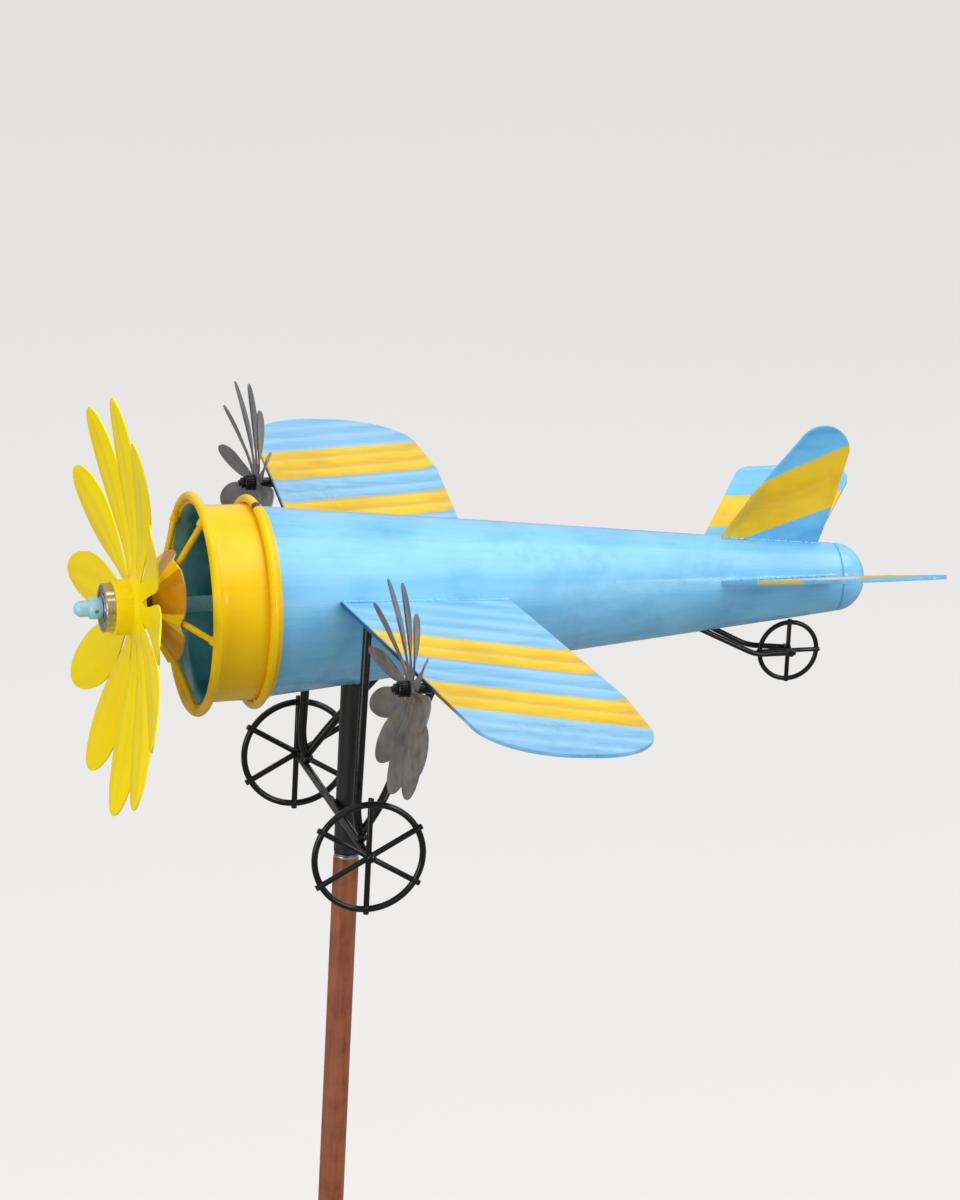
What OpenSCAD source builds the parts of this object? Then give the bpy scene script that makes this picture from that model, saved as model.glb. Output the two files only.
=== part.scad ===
// Aeroplane wind spinner on a garden pole.
// +Z up, nose towards -Y, port wing towards +X. The origin is on the pole's axis at ground level.
// The plane yaws on the pole's spindle, and its three petal propellers spin freely.

/* [Stand] */
// Outside diameter of the pole and of the mast that turns above it
pole_od = 16; // [15:0.5:24]
// Wall of the pole and of the mast
pole_wall = 1.6; // [1:0.2:2.4]
// Height of the mast's lower end above the ground
mast_foot_h = 500; // [250:10:1200]
// Depth of the centre stake below the ground
stake_depth = 150; // [80:5:300]
// Spread of the two side prongs, centre to centre
fork_spread = 96; // [60:2:160]
// Diameter of the side prongs and of their crossbar
prong_d = 8; // [5:0.5:10]
// Depth of the side prongs below the ground
prong_depth = 110; // [60:5:250]
// Diameter of the yaw spindle
spindle_d = 9.9; // [7:0.1:10]
// Length of the yaw spindle above the pole
spindle_len = 122; // [80:1:150]

/* [Fuselage] */
// Diameter of the fuselage cone at its front edge
fuselage_front_d = 118.4; // [90:0.4:160]
// Diameter of the fuselage cone at its tail edge
fuselage_tail_d = 42.8; // [30:0.2:60]
// Distance of the front edge ahead of the mast
fuselage_nose_y = 68; // [55:1:100]
// Distance of the tail edge behind the mast
fuselage_tail_y = 306; // [250:1:400]
// Thickness of the rolled sheet
sheet_t = 1.2; // [0.8:0.1:2]
// Height of the fuselage axis above the mast's lower end
axis_rise = 167; // [139:1:220]
// Length of the domed tail cap
tail_cap_len = 19.5; // [12:0.5:21]

/* [Cowl] */
// Length of the cowl band
cowl_len = 41.7; // [30:0.1:60]
// Overlap of the band over the fuselage
cowl_lap = 6; // [3:0.5:12]
// Length of the flare that ends in the front rim
cowl_flare_len = 9; // [6:0.5:14]
// How far the flare opens
cowl_flare = 2.7; // [1:0.1:5]
// Wire diameter of the front rim
front_rim_d = 5.8; // [4:0.1:8]
// Wire diameter of the rear rim
rear_rim_d = 5.4; // [4:0.1:8]
// Number of spokes in the nose spider
spoke_count = 5; // [3:1:8]
// Wire diameter of the nose spokes
spoke_d = 4; // [3:0.1:6]
// Distance of the spider hub ahead of the front rim
spider_reach = 21.5; // [15:0.5:40]
// Diameter of the nose cone
nose_cone_d = 70; // [50:1:90]
// Depth of the nose cone
nose_cone_h = 13.5; // [8:0.5:20]

/* [Main propeller] */
// Diameter of the shaft, the bearings' bore
shaft_d = 10; // [8:0.5:12]
// Outside diameter of the ball bearings
bearing_od = 30; // [25:1:37]
// Width of one ball bearing
bearing_w = 9; // [7:1:12]
// Number of balls in a bearing
ball_count = 8; // [6:1:10]
// Length of the petal wheel's tube
housing_len = 18.5; // [14:0.5:30]
// Wall of the petal wheel's tube
housing_wall = 2; // [1.2:0.1:3]
// How far the front bearing stands out of the tube
bearing_proud = 6; // [3:0.5:7]
// Tip radius of the main petals
main_prop_r = 130; // [100:1:170]
// Greatest width of a main petal
main_petal_w = 34; // [24:1:42]
// Length of the shaft beyond the collar
shaft_tip_len = 9; // [5:0.5:15]
// Wall of the shaft collar
shaft_collar_wall = 1.7; // [1.2:0.1:4]
// Width of the shaft collar
shaft_collar_w = 8.5; // [5:0.5:12]

/* [Wing propellers] */
// Distance of each wing propeller from the fuselage axis
wing_prop_x = 194.5; // [165:0.5:234]
// Tip radius of the wing petals
wing_prop_r = 66; // [50:1:80]
// Greatest width of a wing petal
wing_petal_w = 19; // [14:1:27]
// Diameter of the wing axles
wing_axle_d = 4; // [3:0.1:5]
// Outside diameter of the hub sleeve
sleeve_d = 10; // [8:0.2:14]
// Length of the hub sleeve
sleeve_len = 11; // [8:0.5:16]
// Number of petals in every propeller
petal_count = 12; // [8:1:14]
// Thickness of a petal
petal_t = 1; // [0.8:0.1:1.6]
// Pitch of the main petals
main_petal_pitch = 1; // [0:1:30]
// Turn of the main petals at rest
main_petal_turn = -8; // [-15:1:15]
// Pitch of the wing petals
wing_petal_pitch = 22; // [0:1:40]

/* [Wings and tail] */
// Half of the wing span
half_span = 318; // [280:1:390]
// Wing chord at the root
wing_chord = 111; // [92:1:134]
// Thickness of the wing and tail sheets
wing_t = 2; // [1.2:0.1:3]
// Height of the wing's leading edge above the fuselage axis
wing_z = 15; // [5:0.5:22]
// Nose-up angle of the wings
wing_incidence = 3.5; // [0:0.5:6]
// Angle of the stabilisers above level
tail_dihedral = 18; // [0:1:25]
// Height of the fin's top above the fuselage axis
fin_top = 99.3; // [82:0.1:130]
// Distance of the stabiliser tip from the fuselage axis
stabiliser_span = 117; // [95:1:141]

/* [Landing gear] */
// Distance of each wheel from the middle
wheel_x = 92; // [80:1:110]
// Depth of the wheel axle below the fuselage axis
gear_drop = 135; // [112:1:145]
// Outside diameter of the main wheels
wheel_d = 72; // [58:1:90]
// Wire diameter of the main wheels
wheel_wire = 4; // [3:0.1:6]
// Diameter of the strut rod
strut_d = 5.5; // [4:0.1:7]
// Diameter of the axle bar
axle_bar_d = 5; // [4:0.1:7]
// Outside diameter of the tail wheel
tail_wheel_d = 40; // [30:1:50]
// Wire diameter of the tail wheel and its fork
tail_wire = 3; // [2.4:0.1:4]

/* [Hidden] */
$fn = 64;
// Radial clearance of every running fit
run_gap = 0.05;
// End play between a turning face and its neighbour
end_gap = 0.3;
// How much fatter a rod is in a bend
bend_swell = 0.3;
// Stock that a cutting shape runs past the face it opens
over = 1;

axis_z = mast_foot_h + axis_rise;
pole_r = pole_od / 2;
pole_bore_r = pole_r - pole_wall;
washer_t = 1.3;
flange_t = 1.4;
pole_top_z = mast_foot_h - end_gap - washer_t - flange_t;
pole_foot_z = 16;
plug_len = 60;
screw_r = 2.4;
screw_z = pole_top_z - 44;
bush_len = 15;
mast_top_z = axis_z + 25;
spindle_r = spindle_d / 2;
spindle_top_z = pole_top_z + flange_t + spindle_len;

nose_y = -fuselage_nose_y;
tail_y = fuselage_tail_y;
front_r = fuselage_front_d / 2;
tail_r = fuselage_tail_d / 2;
cowl_r = front_r + sheet_t;
cowl_back_y = nose_y + cowl_lap;
cowl_front_y = cowl_back_y - cowl_len;
front_rim_r = cowl_r + cowl_flare + front_rim_d / 2;
rear_rim_r = cowl_r + rear_rim_d / 2;
bulkhead_t = 1.5;
bulkhead_y = nose_y + 2;

spider_y = cowl_front_y - spider_reach;
spider_hub_len = 12;
spider_front_y = spider_y - spider_hub_len / 2;
nose_cone_t = 1;
spacer_len = 6;
nut_len = 6;

shaft_r = shaft_d / 2;
spider_hub_r = shaft_r + 6;
spacer_r = shaft_r + 2.2;
nut_af = shaft_d * 1.7;
shaft_collar_d = shaft_d + 2 * shaft_collar_wall;
bearing_r = bearing_od / 2;
pitch_r = (bearing_r + shaft_r) / 2;
ball_r = (bearing_r - shaft_r) * 0.24;
ring_lip = ball_r * 0.62;
groove_r = ball_r + run_gap;
rear_bearing_y = spider_front_y - spacer_len - bearing_w;
housing_back_y = rear_bearing_y + bearing_w + 1;
housing_front_y = housing_back_y - housing_len;
front_bearing_y = housing_front_y - bearing_proud;
housing_r = bearing_r + housing_wall;
shoulder_r = bearing_r - 2;
shield_t = 0.5;
collar_y = front_bearing_y - shaft_collar_w;
shaft_front_y = collar_y - shaft_tip_len;
grub_r = 1.3;
shaft_back_y = bulkhead_y + bulkhead_t + nut_len + 3;

main_petal_y = housing_back_y - 4;
main_petal_root = 11;
main_petal_dish = 14;
flange_r = housing_r + 7;

wing_front_y = -24;
wing_sweep = 0.11;
wing_tip_r = 52;
wing_tip_back_r = 46;
wing_back_slope = 0.13;
// Distance of the trailing edge's corner inside the tip
wing_shoulder = 101;
wing_axle_z = wing_z - wing_t / 2 - wing_axle_d / 2 - 1;

petal_steps = 10;
petal_across = 4;
petal_belly = 0.62;
// How far a petal runs into its root flange
petal_lap = 2;

wing_petal_root = 3.6;
wing_petal_dish = 8;
wing_flange_r = sleeve_d / 2 + 4.5;
// Gap between the widest part of a passing petal and the wing's leading edge
wing_petal_gap = 3.8;
wing_belly_r = wing_flange_r - petal_lap + (wing_prop_r - wing_flange_r + petal_lap) * petal_belly;
wing_belly_back = wing_petal_w / 2 * sin(wing_petal_pitch) - wing_petal_dish * petal_belly * petal_belly;
petal_set_back = 3.5;
sleeve_back_y = wing_front_y + wing_sweep * (wing_prop_x - wing_belly_r - front_r)
    - wing_petal_gap - wing_belly_back + petal_set_back;
sleeve_front_y = sleeve_back_y - sleeve_len;
wing_petal_y = sleeve_back_y - petal_set_back;
retainer_t = 2;
retainer_r = wing_axle_d / 2 + 1.4;
boss_r = wing_axle_d / 2 + 1.6;
boss_len = 9;

gear_y = -pole_r - axle_bar_d / 2;
wheel_z = axis_z - gear_drop;
strut_foot_z = wheel_z + (axle_bar_d + strut_d + bend_swell) / 2;
tail_wheel_y = tail_y - 26;
// Gap between the tail wheel and the belly above it
tail_wheel_gap = 3.37;
tail_wheel_z = axis_z - skin_r(tail_wheel_y) - tail_wheel_d / 2 - tail_wheel_gap;
tail_pin_len = 15;

// ---- helpers ----

// Child drawn along +Z is laid along +Y on the fuselage axis, starting at y
module along_y(y) {
    translate([0, y, axis_z])
        rotate([-90, 0, 0])
            children();
}

module tube_y(y, len, r_out, r_in) {
    along_y(y)
        difference() {
            cylinder(h = len, r = r_out);
            translate([0, 0, -over])
                cylinder(h = len + 2 * over, r = r_in);
        }
}

module tube_z(z, len, r_out, r_in) {
    translate([0, 0, z])
        difference() {
            cylinder(h = len, r = r_out);
            translate([0, 0, -over])
                cylinder(h = len + 2 * over, r = r_in);
        }
}

// Round rod from point a to point b
module rod(a, b, d) {
    v = b - a;
    len = norm(v);
    translate(a)
        rotate([0, acos(v.z / len), atan2(v.y, v.x)])
            cylinder(h = len, d = d);
}

// Rod through a list of points, with a slightly proud ball in every bend
module bent_rod(points, d) {
    for (i = [1:len(points) - 1])
        rod(points[i - 1], points[i], d);
    for (i = [1:len(points) - 2])
        translate(points[i])
            sphere(d = d + bend_swell);
}

module ring_y(y, r, d) {
    along_y(y)
        rotate_extrude()
            translate([r, 0])
                circle(d = d);
}

// Radius of the fuselage skin at y
function skin_r(y) = front_r + (tail_r - front_r) * (y - nose_y) / (tail_y - nose_y);

// Solid inside the fuselage skin, shrunk by inset, from y0 to y1
module skin_solid(y0, y1, inset) {
    along_y(y0)
        cylinder(h = y1 - y0, r1 = skin_r(y0) - inset, r2 = skin_r(y1) - inset);
}

module mirror_side(side) {
    mirror([side < 0 ? 1 : 0, 0, 0])
        children();
}

// Points of an arc about c from angle a0 to a1
function arc(c, r, a0, a1, n = 12) =
    [for (i = [0:n]) c + r * [cos(a0 + (a1 - a0) * i / n), sin(a0 + (a1 - a0) * i / n)]];

// ---- petals ----

// Width of a petal at s, from 0 at the root to 1 at the tip
function swell(x) = x * x * (3 - 2 * x);
function petal_width(s, root, wide) = s < petal_belly
    ? root + (wide - root) * swell(s / petal_belly)
    : max(1.6, wide * sqrt(1 - pow((s - petal_belly) / (1 - petal_belly), 2)));

// Point of a petal's face: s along it, v across it, side +1 or -1 through its thickness
function petal_point(s, v, side, r0, r1, root, wide, dish, pitch) =
    let (
        twist = pitch * swell(min(1, s / 0.35)),
        w = petal_width(s, root, wide) * v,
        cup = 0.05 * petal_width(s, root, wide) * (1 - 4 * v * v),
        h = side * petal_t / 2 - cup
    )
    [w * cos(twist) + h * sin(twist), -w * sin(twist) + h * cos(twist) - dish * s * s, r0 + (r1 - r0) * s];

module petal(r0, r1, root, wide, dish, pitch) {
    n = petal_steps;
    m = petal_across;
    face = (n + 1) * (m + 1);
    stations = [for (i = [0:n]) sin(90 * i / n)];
    points = [for (side = [1, -1]) for (i = [0:n]) for (j = [0:m])
        petal_point(stations[i], j / m - 0.5, side, r0, r1, root, wide, dish, pitch)];
    back = [for (i = [0:n - 1]) for (j = [0:m - 1])
        let (a = i * (m + 1) + j)
        each [[a, a + m + 2, a + m + 1], [a, a + 1, a + m + 2]]];
    front = [for (t = back) [t[0] + face, t[2] + face, t[1] + face]];
    rim = concat(
        [for (j = [0:m - 1]) j],
        [for (i = [0:n - 1]) i * (m + 1) + m],
        [for (j = [m:-1:1]) n * (m + 1) + j],
        [for (i = [n:-1:1]) i * (m + 1)]
    );
    edge = [for (k = [0:len(rim) - 1])
        let (a = rim[k], b = rim[(k + 1) % len(rim)])
        each [[a, b + face, b], [a, a + face, b + face]]];
    polyhedron(points, concat(back, front, edge));
}

// Ring of petals about the Y axis at the origin, on a flat root flange
module petal_wheel(bore_r, flange, root, tip_r, wide, dish, pitch) {
    for (i = [0:petal_count - 1])
        rotate([0, 360 / petal_count * i, 0])
            petal(flange - petal_lap, tip_r, root, wide, dish, pitch);
    rotate([-90, 0, 0])
        translate([0, 0, -petal_t])
            difference() {
                cylinder(h = 2 * petal_t, r = flange);
                translate([0, 0, -over])
                    cylinder(h = 2 * petal_t + 2 * over, r = bore_r);
            }
}

// ---- stand ----

module ground_stake() {
    color("saddlebrown") {
        translate([0, 0, -stake_depth + 25])
            cylinder(h = stake_depth - 25 + pole_foot_z + 50, r = pole_bore_r);
        translate([0, 0, -stake_depth])
            cylinder(h = 25, r1 = 1, r2 = pole_bore_r);
        cylinder(h = pole_foot_z, r = pole_r);
    }
}

module ground_prongs() {
    color("saddlebrown")
        difference() {
            for (side = [-1, 1]) {
                bent_rod([[0, 0, prong_d / 2], [side * fork_spread / 2, 0, prong_d / 2],
                    [side * fork_spread / 2, 0, -prong_depth + 18]], prong_d);
                translate([side * fork_spread / 2, 0, -prong_depth])
                    cylinder(h = 18, r1 = 0.6, r2 = prong_d / 2);
            }
            translate([0, 0, -over])
                cylinder(h = prong_d + 2 * over, r = pole_r);
        }
}

module pole_tube() {
    color("sienna")
        difference() {
            tube_z(pole_foot_z, pole_top_z - pole_foot_z, pole_r, pole_bore_r);
            translate([0, 0, screw_z])
                rotate([0, 90, 0])
                    cylinder(h = pole_r + over, r = screw_r);
        }
}

module pivot_spindle() {
    color("silver") {
        difference() {
            translate([0, 0, pole_top_z - plug_len])
                cylinder(h = plug_len, r = pole_bore_r);
            translate([0, 0, screw_z])
                rotate([0, 90, 0])
                    cylinder(h = pole_r + over, r = screw_r);
        }
        translate([0, 0, pole_top_z])
            cylinder(h = flange_t, r = pole_r - 0.4);
        translate([0, 0, pole_top_z + flange_t])
            cylinder(h = spindle_len - spindle_r, r = spindle_r);
        translate([0, 0, spindle_top_z - spindle_r])
            intersection() {
                sphere(r = spindle_r);
                cylinder(h = spindle_d, r = spindle_d);
            }
    }
}

module pivot_screw() {
    color("dimgray")
        translate([0, 0, screw_z])
            rotate([0, 90, 0])
                difference() {
                    cylinder(h = pole_r - 1.6, r = screw_r);
                    translate([0, 0, pole_r - 3.1])
                        cylinder(h = 3, r = 1.2, $fn = 6);
                }
}

module thrust_washer() {
    color("white")
        tube_z(pole_top_z + flange_t, washer_t, pole_r - 0.4, spindle_r);
}

module mast_tube() {
    color("dimgray")
        tube_z(mast_foot_h, mast_top_z - mast_foot_h, pole_r, pole_bore_r);
}

module mast_bush(z) {
    color("white")
        tube_z(z, bush_len, pole_bore_r, spindle_r + run_gap);
}

module mast_lower_bush() {
    mast_bush(mast_foot_h);
}

module mast_upper_bush() {
    mast_bush(spindle_top_z - spindle_r - bush_len - 4);
}

module mast_pivot_plug() {
    color("gray")
        translate([0, 0, spindle_top_z + end_gap])
            cylinder(h = 16, r = pole_bore_r);
}

// ---- fuselage and cowl ----

module fuselage_shell() {
    color("lightskyblue")
        difference() {
            skin_solid(nose_y, tail_y, 0);
            skin_solid(nose_y - over, tail_y + over, sheet_t);
            translate([0, 0, mast_foot_h])
                cylinder(h = axis_rise, r = pole_r);
        }
}

module tail_cap() {
    ball = (tail_r * tail_r + tail_cap_len * tail_cap_len) / (2 * tail_cap_len);
    color("lightskyblue")
        translate([0, tail_y + tail_cap_len - ball, axis_z])
            difference() {
                sphere(r = ball);
                sphere(r = ball - sheet_t);
                translate([-ball - over, -2 * ball - tail_cap_len, -ball - over])
                    cube([2 * ball + 2 * over, 3 * ball, 2 * ball + 2 * over]);
            }
}

module front_bulkhead() {
    color("teal")
        difference() {
            skin_solid(bulkhead_y, bulkhead_y + bulkhead_t, sheet_t);
            along_y(bulkhead_y - over)
                cylinder(h = bulkhead_t + 2 * over, r = shaft_r);
        }
}

module cowl_band() {
    color("gold")
        along_y(cowl_front_y)
            rotate_extrude()
                polygon([[cowl_r - sheet_t, cowl_len], [cowl_r, cowl_len], [cowl_r, cowl_flare_len],
                    [cowl_r + cowl_flare, 0], [cowl_r + cowl_flare - sheet_t, 0],
                    [cowl_r - sheet_t, cowl_flare_len]]);
}

module cowl_front_rim() {
    color("gold")
        ring_y(cowl_front_y, front_rim_r, front_rim_d);
}

module cowl_rear_rim() {
    color("gold")
        ring_y(nose_y, rear_rim_r, rear_rim_d);
}

// Everything ahead of the nose cone's back face
module ahead_of_cone() {
    along_y(spider_front_y)
        rotate_extrude()
            polygon([[0, -over], [0, nose_cone_t], [spider_hub_r, nose_cone_t],
                [nose_cone_d / 2, nose_cone_h + nose_cone_t], [nose_cone_d / 2, -over]]);
}

module nose_spider() {
    color("gold")
        difference() {
            for (i = [0:spoke_count - 1])
                translate([0, 0, axis_z])
                    rotate([0, 20 + 360 / spoke_count * i, 0])
                        rod([0, spider_y, spider_hub_r - 3], [0, cowl_front_y - 1.5, front_rim_r - 1], spoke_d);
            along_y(spider_front_y - over)
                cylinder(h = spider_hub_len + 2 * over, r = spider_hub_r);
            ring_y(cowl_front_y, front_rim_r, front_rim_d);
            ahead_of_cone();
        }
}

module spider_hub() {
    color("goldenrod")
        tube_y(spider_front_y, spider_hub_len, spider_hub_r, shaft_r);
}

module nose_cone() {
    color("goldenrod")
        along_y(spider_front_y)
            rotate_extrude()
                polygon([[spider_hub_r, 0], [spider_hub_r, nose_cone_t],
                    [nose_cone_d / 2, nose_cone_h + nose_cone_t], [nose_cone_d / 2, nose_cone_h]]);
}

// ---- main propeller ----

module prop_shaft() {
    color("lightblue") {
        along_y(shaft_front_y + shaft_r)
            cylinder(h = shaft_back_y - shaft_front_y - shaft_r, r = shaft_r);
        along_y(shaft_front_y + shaft_r)
            intersection() {
                sphere(r = shaft_r);
                translate([0, 0, -shaft_r])
                    cylinder(h = shaft_r, r = shaft_r + over);
            }
    }
}

module shaft_nut() {
    color("silver")
        along_y(bulkhead_y + bulkhead_t)
            difference() {
                cylinder(h = nut_len, d = nut_af / cos(30), $fn = 6);
                translate([0, 0, -over])
                    cylinder(h = nut_len + 2 * over, r = shaft_r);
            }
}

module shaft_spacer() {
    color("goldenrod")
        tube_y(spider_front_y - spacer_len, spacer_len, spacer_r, shaft_r);
}

module bearing_spacer() {
    color("silver")
        tube_y(front_bearing_y + bearing_w, rear_bearing_y - front_bearing_y - bearing_w, spacer_r, shaft_r);
}

module shaft_collar() {
    color("lightblue")
        difference() {
            tube_y(collar_y, shaft_collar_w, shaft_collar_d / 2, shaft_r);
            translate([0, collar_y + shaft_collar_w / 2, axis_z])
                rotate([0, 90, 0])
                    cylinder(h = shaft_collar_d, r = grub_r);
        }
}

module collar_screw() {
    color("dimgray")
        translate([0, collar_y + shaft_collar_w / 2, axis_z])
            intersection() {
                rotate([0, 90, 0])
                    cylinder(h = shaft_collar_d / 2 - 0.5, r = grub_r);
                difference() {
                    cube(shaft_collar_d, center = true);
                    rotate([90, 0, 0])
                        cylinder(h = shaft_collar_d + over, r = shaft_r, center = true);
                }
            }
}

module bearing_inner(y) {
    color("silver")
        along_y(y)
            rotate_extrude()
                difference() {
                    translate([shaft_r, 0])
                        square([pitch_r - ring_lip - shaft_r, bearing_w]);
                    translate([pitch_r, bearing_w / 2])
                        circle(r = groove_r);
                }
}

module bearing_outer(y) {
    color("silver")
        along_y(y)
            rotate_extrude()
                difference() {
                    translate([pitch_r + ring_lip, 0])
                        square([bearing_r - pitch_r - ring_lip, bearing_w]);
                    translate([pitch_r, bearing_w / 2])
                        circle(r = groove_r);
                }
}

module bearing_balls(y) {
    color("silver")
        along_y(y + bearing_w / 2)
            for (i = [0:ball_count - 1])
                rotate([0, 0, 360 / ball_count * i])
                    translate([pitch_r, 0, 0])
                        sphere(r = ball_r, $fn = 24);
}

module front_bearing_inner() {
    bearing_inner(front_bearing_y);
}

module rear_bearing_inner() {
    bearing_inner(rear_bearing_y);
}

module front_bearing_outer() {
    bearing_outer(front_bearing_y);
}

module rear_bearing_outer() {
    bearing_outer(rear_bearing_y);
}

module front_bearing_balls() {
    bearing_balls(front_bearing_y);
}

module rear_bearing_balls() {
    bearing_balls(rear_bearing_y);
}

module front_bearing_shield() {
    color("silver")
        tube_y(front_bearing_y + 0.6, shield_t, pitch_r + ring_lip, pitch_r - ring_lip + end_gap);
}

module main_prop_housing() {
    color("gold")
        along_y(housing_front_y)
            difference() {
                cylinder(h = housing_len, r = housing_r);
                translate([0, 0, -over])
                    cylinder(h = housing_len + 2 * over, r = shoulder_r);
                translate([0, 0, -over])
                    cylinder(h = bearing_w - bearing_proud + over, r = bearing_r);
                translate([0, 0, rear_bearing_y - housing_front_y])
                    cylinder(h = bearing_w + 2 * over, r = bearing_r);
            }
}

module main_prop_petals() {
    color("yellow")
        translate([0, main_petal_y, axis_z])
            rotate([0, main_petal_turn, 0])
                petal_wheel(housing_r, flange_r, main_petal_root, main_prop_r, main_petal_w,
                    main_petal_dish, main_petal_pitch);
}

// ---- wings and wing propellers ----

// Outline of the port wing, x along the span and y towards the tail, edges joined by tangent arcs
function wing_edge_y(x) = wing_front_y + wing_sweep * (x - front_r);
function wing_back_y(x) = wing_front_y + wing_chord
    + wing_back_slope * (min(x, half_span - wing_shoulder) - front_r);
module wing_outline() {
    tip_a = [half_span - wing_tip_r, wing_edge_y(half_span - wing_tip_r) + wing_tip_r];
    shoulder_x = half_span - wing_shoulder;
    tip_b = [half_span - wing_tip_back_r, wing_back_y(shoulder_x) - wing_tip_back_r];
    polygon(concat(
        [[tail_r, wing_edge_y(tail_r)]],
        arc(tip_a, wing_tip_r, -90, 0),
        arc(tip_b, wing_tip_back_r, 0, 90),
        [[shoulder_x, wing_back_y(shoulder_x)], [tail_r, wing_back_y(tail_r)]]
    ));
}

module wing(side) {
    color("lightskyblue")
        mirror_side(side)
            difference() {
                translate([0, wing_front_y, axis_z + wing_z])
                    rotate([-wing_incidence, 0, 0])
                        translate([0, -wing_front_y, -wing_t / 2])
                            linear_extrude(wing_t)
                                wing_outline();
                skin_solid(nose_y, tail_y, 0);
            }
}

module wing_port() {
    wing(1);
}

module wing_starboard() {
    wing(-1);
}

// Child drawn along +Z is laid along +Y on a wing axle, starting at y
module on_wing_axle(side, y) {
    translate([side * wing_prop_x, y, axis_z + wing_axle_z])
        rotate([-90, 0, 0])
            children();
}

// The half space above the wing's lower face, which trims what is welded under the wing
module above_wing() {
    translate([0, wing_front_y, axis_z + wing_z])
        rotate([-wing_incidence, 0, 0])
            translate([-half_span, -wing_chord, -wing_t / 2])
                cube([2 * half_span, 3 * wing_chord, 20]);
}

module wing_axle(side) {
    color("black")
        difference() {
            on_wing_axle(side, sleeve_front_y - end_gap - retainer_t - 1.5)
                cylinder(h = 62, d = wing_axle_d);
            above_wing();
        }
}

module axle_boss(side) {
    color("black")
        difference() {
            on_wing_axle(side, sleeve_back_y + end_gap)
                difference() {
                    cylinder(h = boss_len, r = boss_r);
                    translate([0, 0, -over])
                        cylinder(h = boss_len + 2 * over, d = wing_axle_d);
                }
            above_wing();
        }
}

module axle_retainer(side) {
    color("black")
        on_wing_axle(side, sleeve_front_y - end_gap - retainer_t)
            difference() {
                cylinder(h = retainer_t, r = retainer_r);
                translate([0, 0, -over])
                    cylinder(h = retainer_t + 2 * over, d = wing_axle_d);
            }
}

module wing_prop_sleeve(side) {
    color("black")
        on_wing_axle(side, sleeve_front_y)
            difference() {
                cylinder(h = sleeve_len, d = sleeve_d);
                translate([0, 0, -over])
                    cylinder(h = sleeve_len + 2 * over, d = wing_axle_d + 2 * run_gap);
            }
}

module wing_prop_petals(side) {
    color("gray")
        translate([side * wing_prop_x, wing_petal_y, axis_z + wing_axle_z])
            petal_wheel(sleeve_d / 2, wing_flange_r, wing_petal_root, wing_prop_r, wing_petal_w, wing_petal_dish,
                wing_petal_pitch);
}

module wing_axle_port() {
    wing_axle(1);
}

module wing_axle_starboard() {
    wing_axle(-1);
}

module axle_boss_port() {
    axle_boss(1);
}

module axle_boss_starboard() {
    axle_boss(-1);
}

module axle_retainer_port() {
    axle_retainer(1);
}

module axle_retainer_starboard() {
    axle_retainer(-1);
}

module wing_prop_port_sleeve() {
    wing_prop_sleeve(1);
}

module wing_prop_starboard_sleeve() {
    wing_prop_sleeve(-1);
}

module wing_prop_port_petals() {
    wing_prop_petals(1);
}

module wing_prop_starboard_petals() {
    wing_prop_petals(-1);
}

// ---- tail ----

module vertical_fin() {
    tip_r = 17;
    tip = [tail_y - 11.5, fin_top - tip_r];
    color("lightskyblue")
        difference() {
            translate([-wing_t / 2, 0, axis_z])
                rotate([90, 0, 90])
                    linear_extrude(wing_t)
                        polygon(concat(
                            [[tail_y - 14, tail_r - 6], [tail_y - 4, tail_r + 24.6]],
                            arc(tip, tip_r, 0, 138),
                            [[tail_y - 54, tail_r + 36.6], [tail_y - 78, skin_r(tail_y - 78) - 5.3]]
                        ));
            skin_solid(nose_y, tail_y, 0);
        }
}

// Outline of a stabiliser, x along its span and y towards the tail
module stabiliser_outline() {
    corner = 13;
    tip_x = stabiliser_span - corner;
    polygon(concat(
        [[tail_r - 6, tail_y - 90]],
        arc([tip_x, tail_y - 22], corner, -58, 0),
        arc([tip_x, tail_y + 26], corner, 0, 118),
        [[tail_r - 6, tail_y - 14]]
    ));
}

module stabiliser(side) {
    color("lightskyblue")
        mirror_side(side)
            difference() {
                translate([0, 0, axis_z])
                    rotate([0, -tail_dihedral, 0])
                        translate([0, 0, -wing_t / 2])
                            linear_extrude(wing_t)
                                stabiliser_outline();
                skin_solid(nose_y, tail_y, 0);
            }
}

module stabiliser_port() {
    stabiliser(1);
}

module stabiliser_starboard() {
    stabiliser(-1);
}

// ---- landing gear ----

// Point inside the skin at y, at an angle below level on the port side
function inside_skin(y, angle) = let (r = skin_r(y) - strut_d)
    [r * cos(angle), y, axis_z - r * sin(angle)];

module gear_strut(side) {
    foot_x = wheel_x - 22;
    color("black")
        mirror_side(side)
            difference() {
                bent_rod([[front_r + 6.8, gear_y, axis_z + wing_z + 2],
                    [foot_x, gear_y - 3, strut_foot_z + 14], [foot_x, gear_y, strut_foot_z],
                    [foot_x - 3, gear_y + 13.5, strut_foot_z + 20], inside_skin(51, 47)], strut_d);
                skin_solid(nose_y, tail_y, 0);
                above_wing();
            }
}

module gear_strut_port() {
    gear_strut(1);
}

module gear_strut_starboard() {
    gear_strut(-1);
}

module gear_axle_bar() {
    color("black")
        difference() {
            translate([-wheel_x + wheel_wire / 2 - 0.2, gear_y, wheel_z])
                rotate([0, 90, 0])
                    cylinder(h = 2 * wheel_x - wheel_wire + 0.4, d = axle_bar_d);
            translate([0, 0, mast_foot_h])
                cylinder(h = axis_rise, r = pole_r);
        }
}

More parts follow.
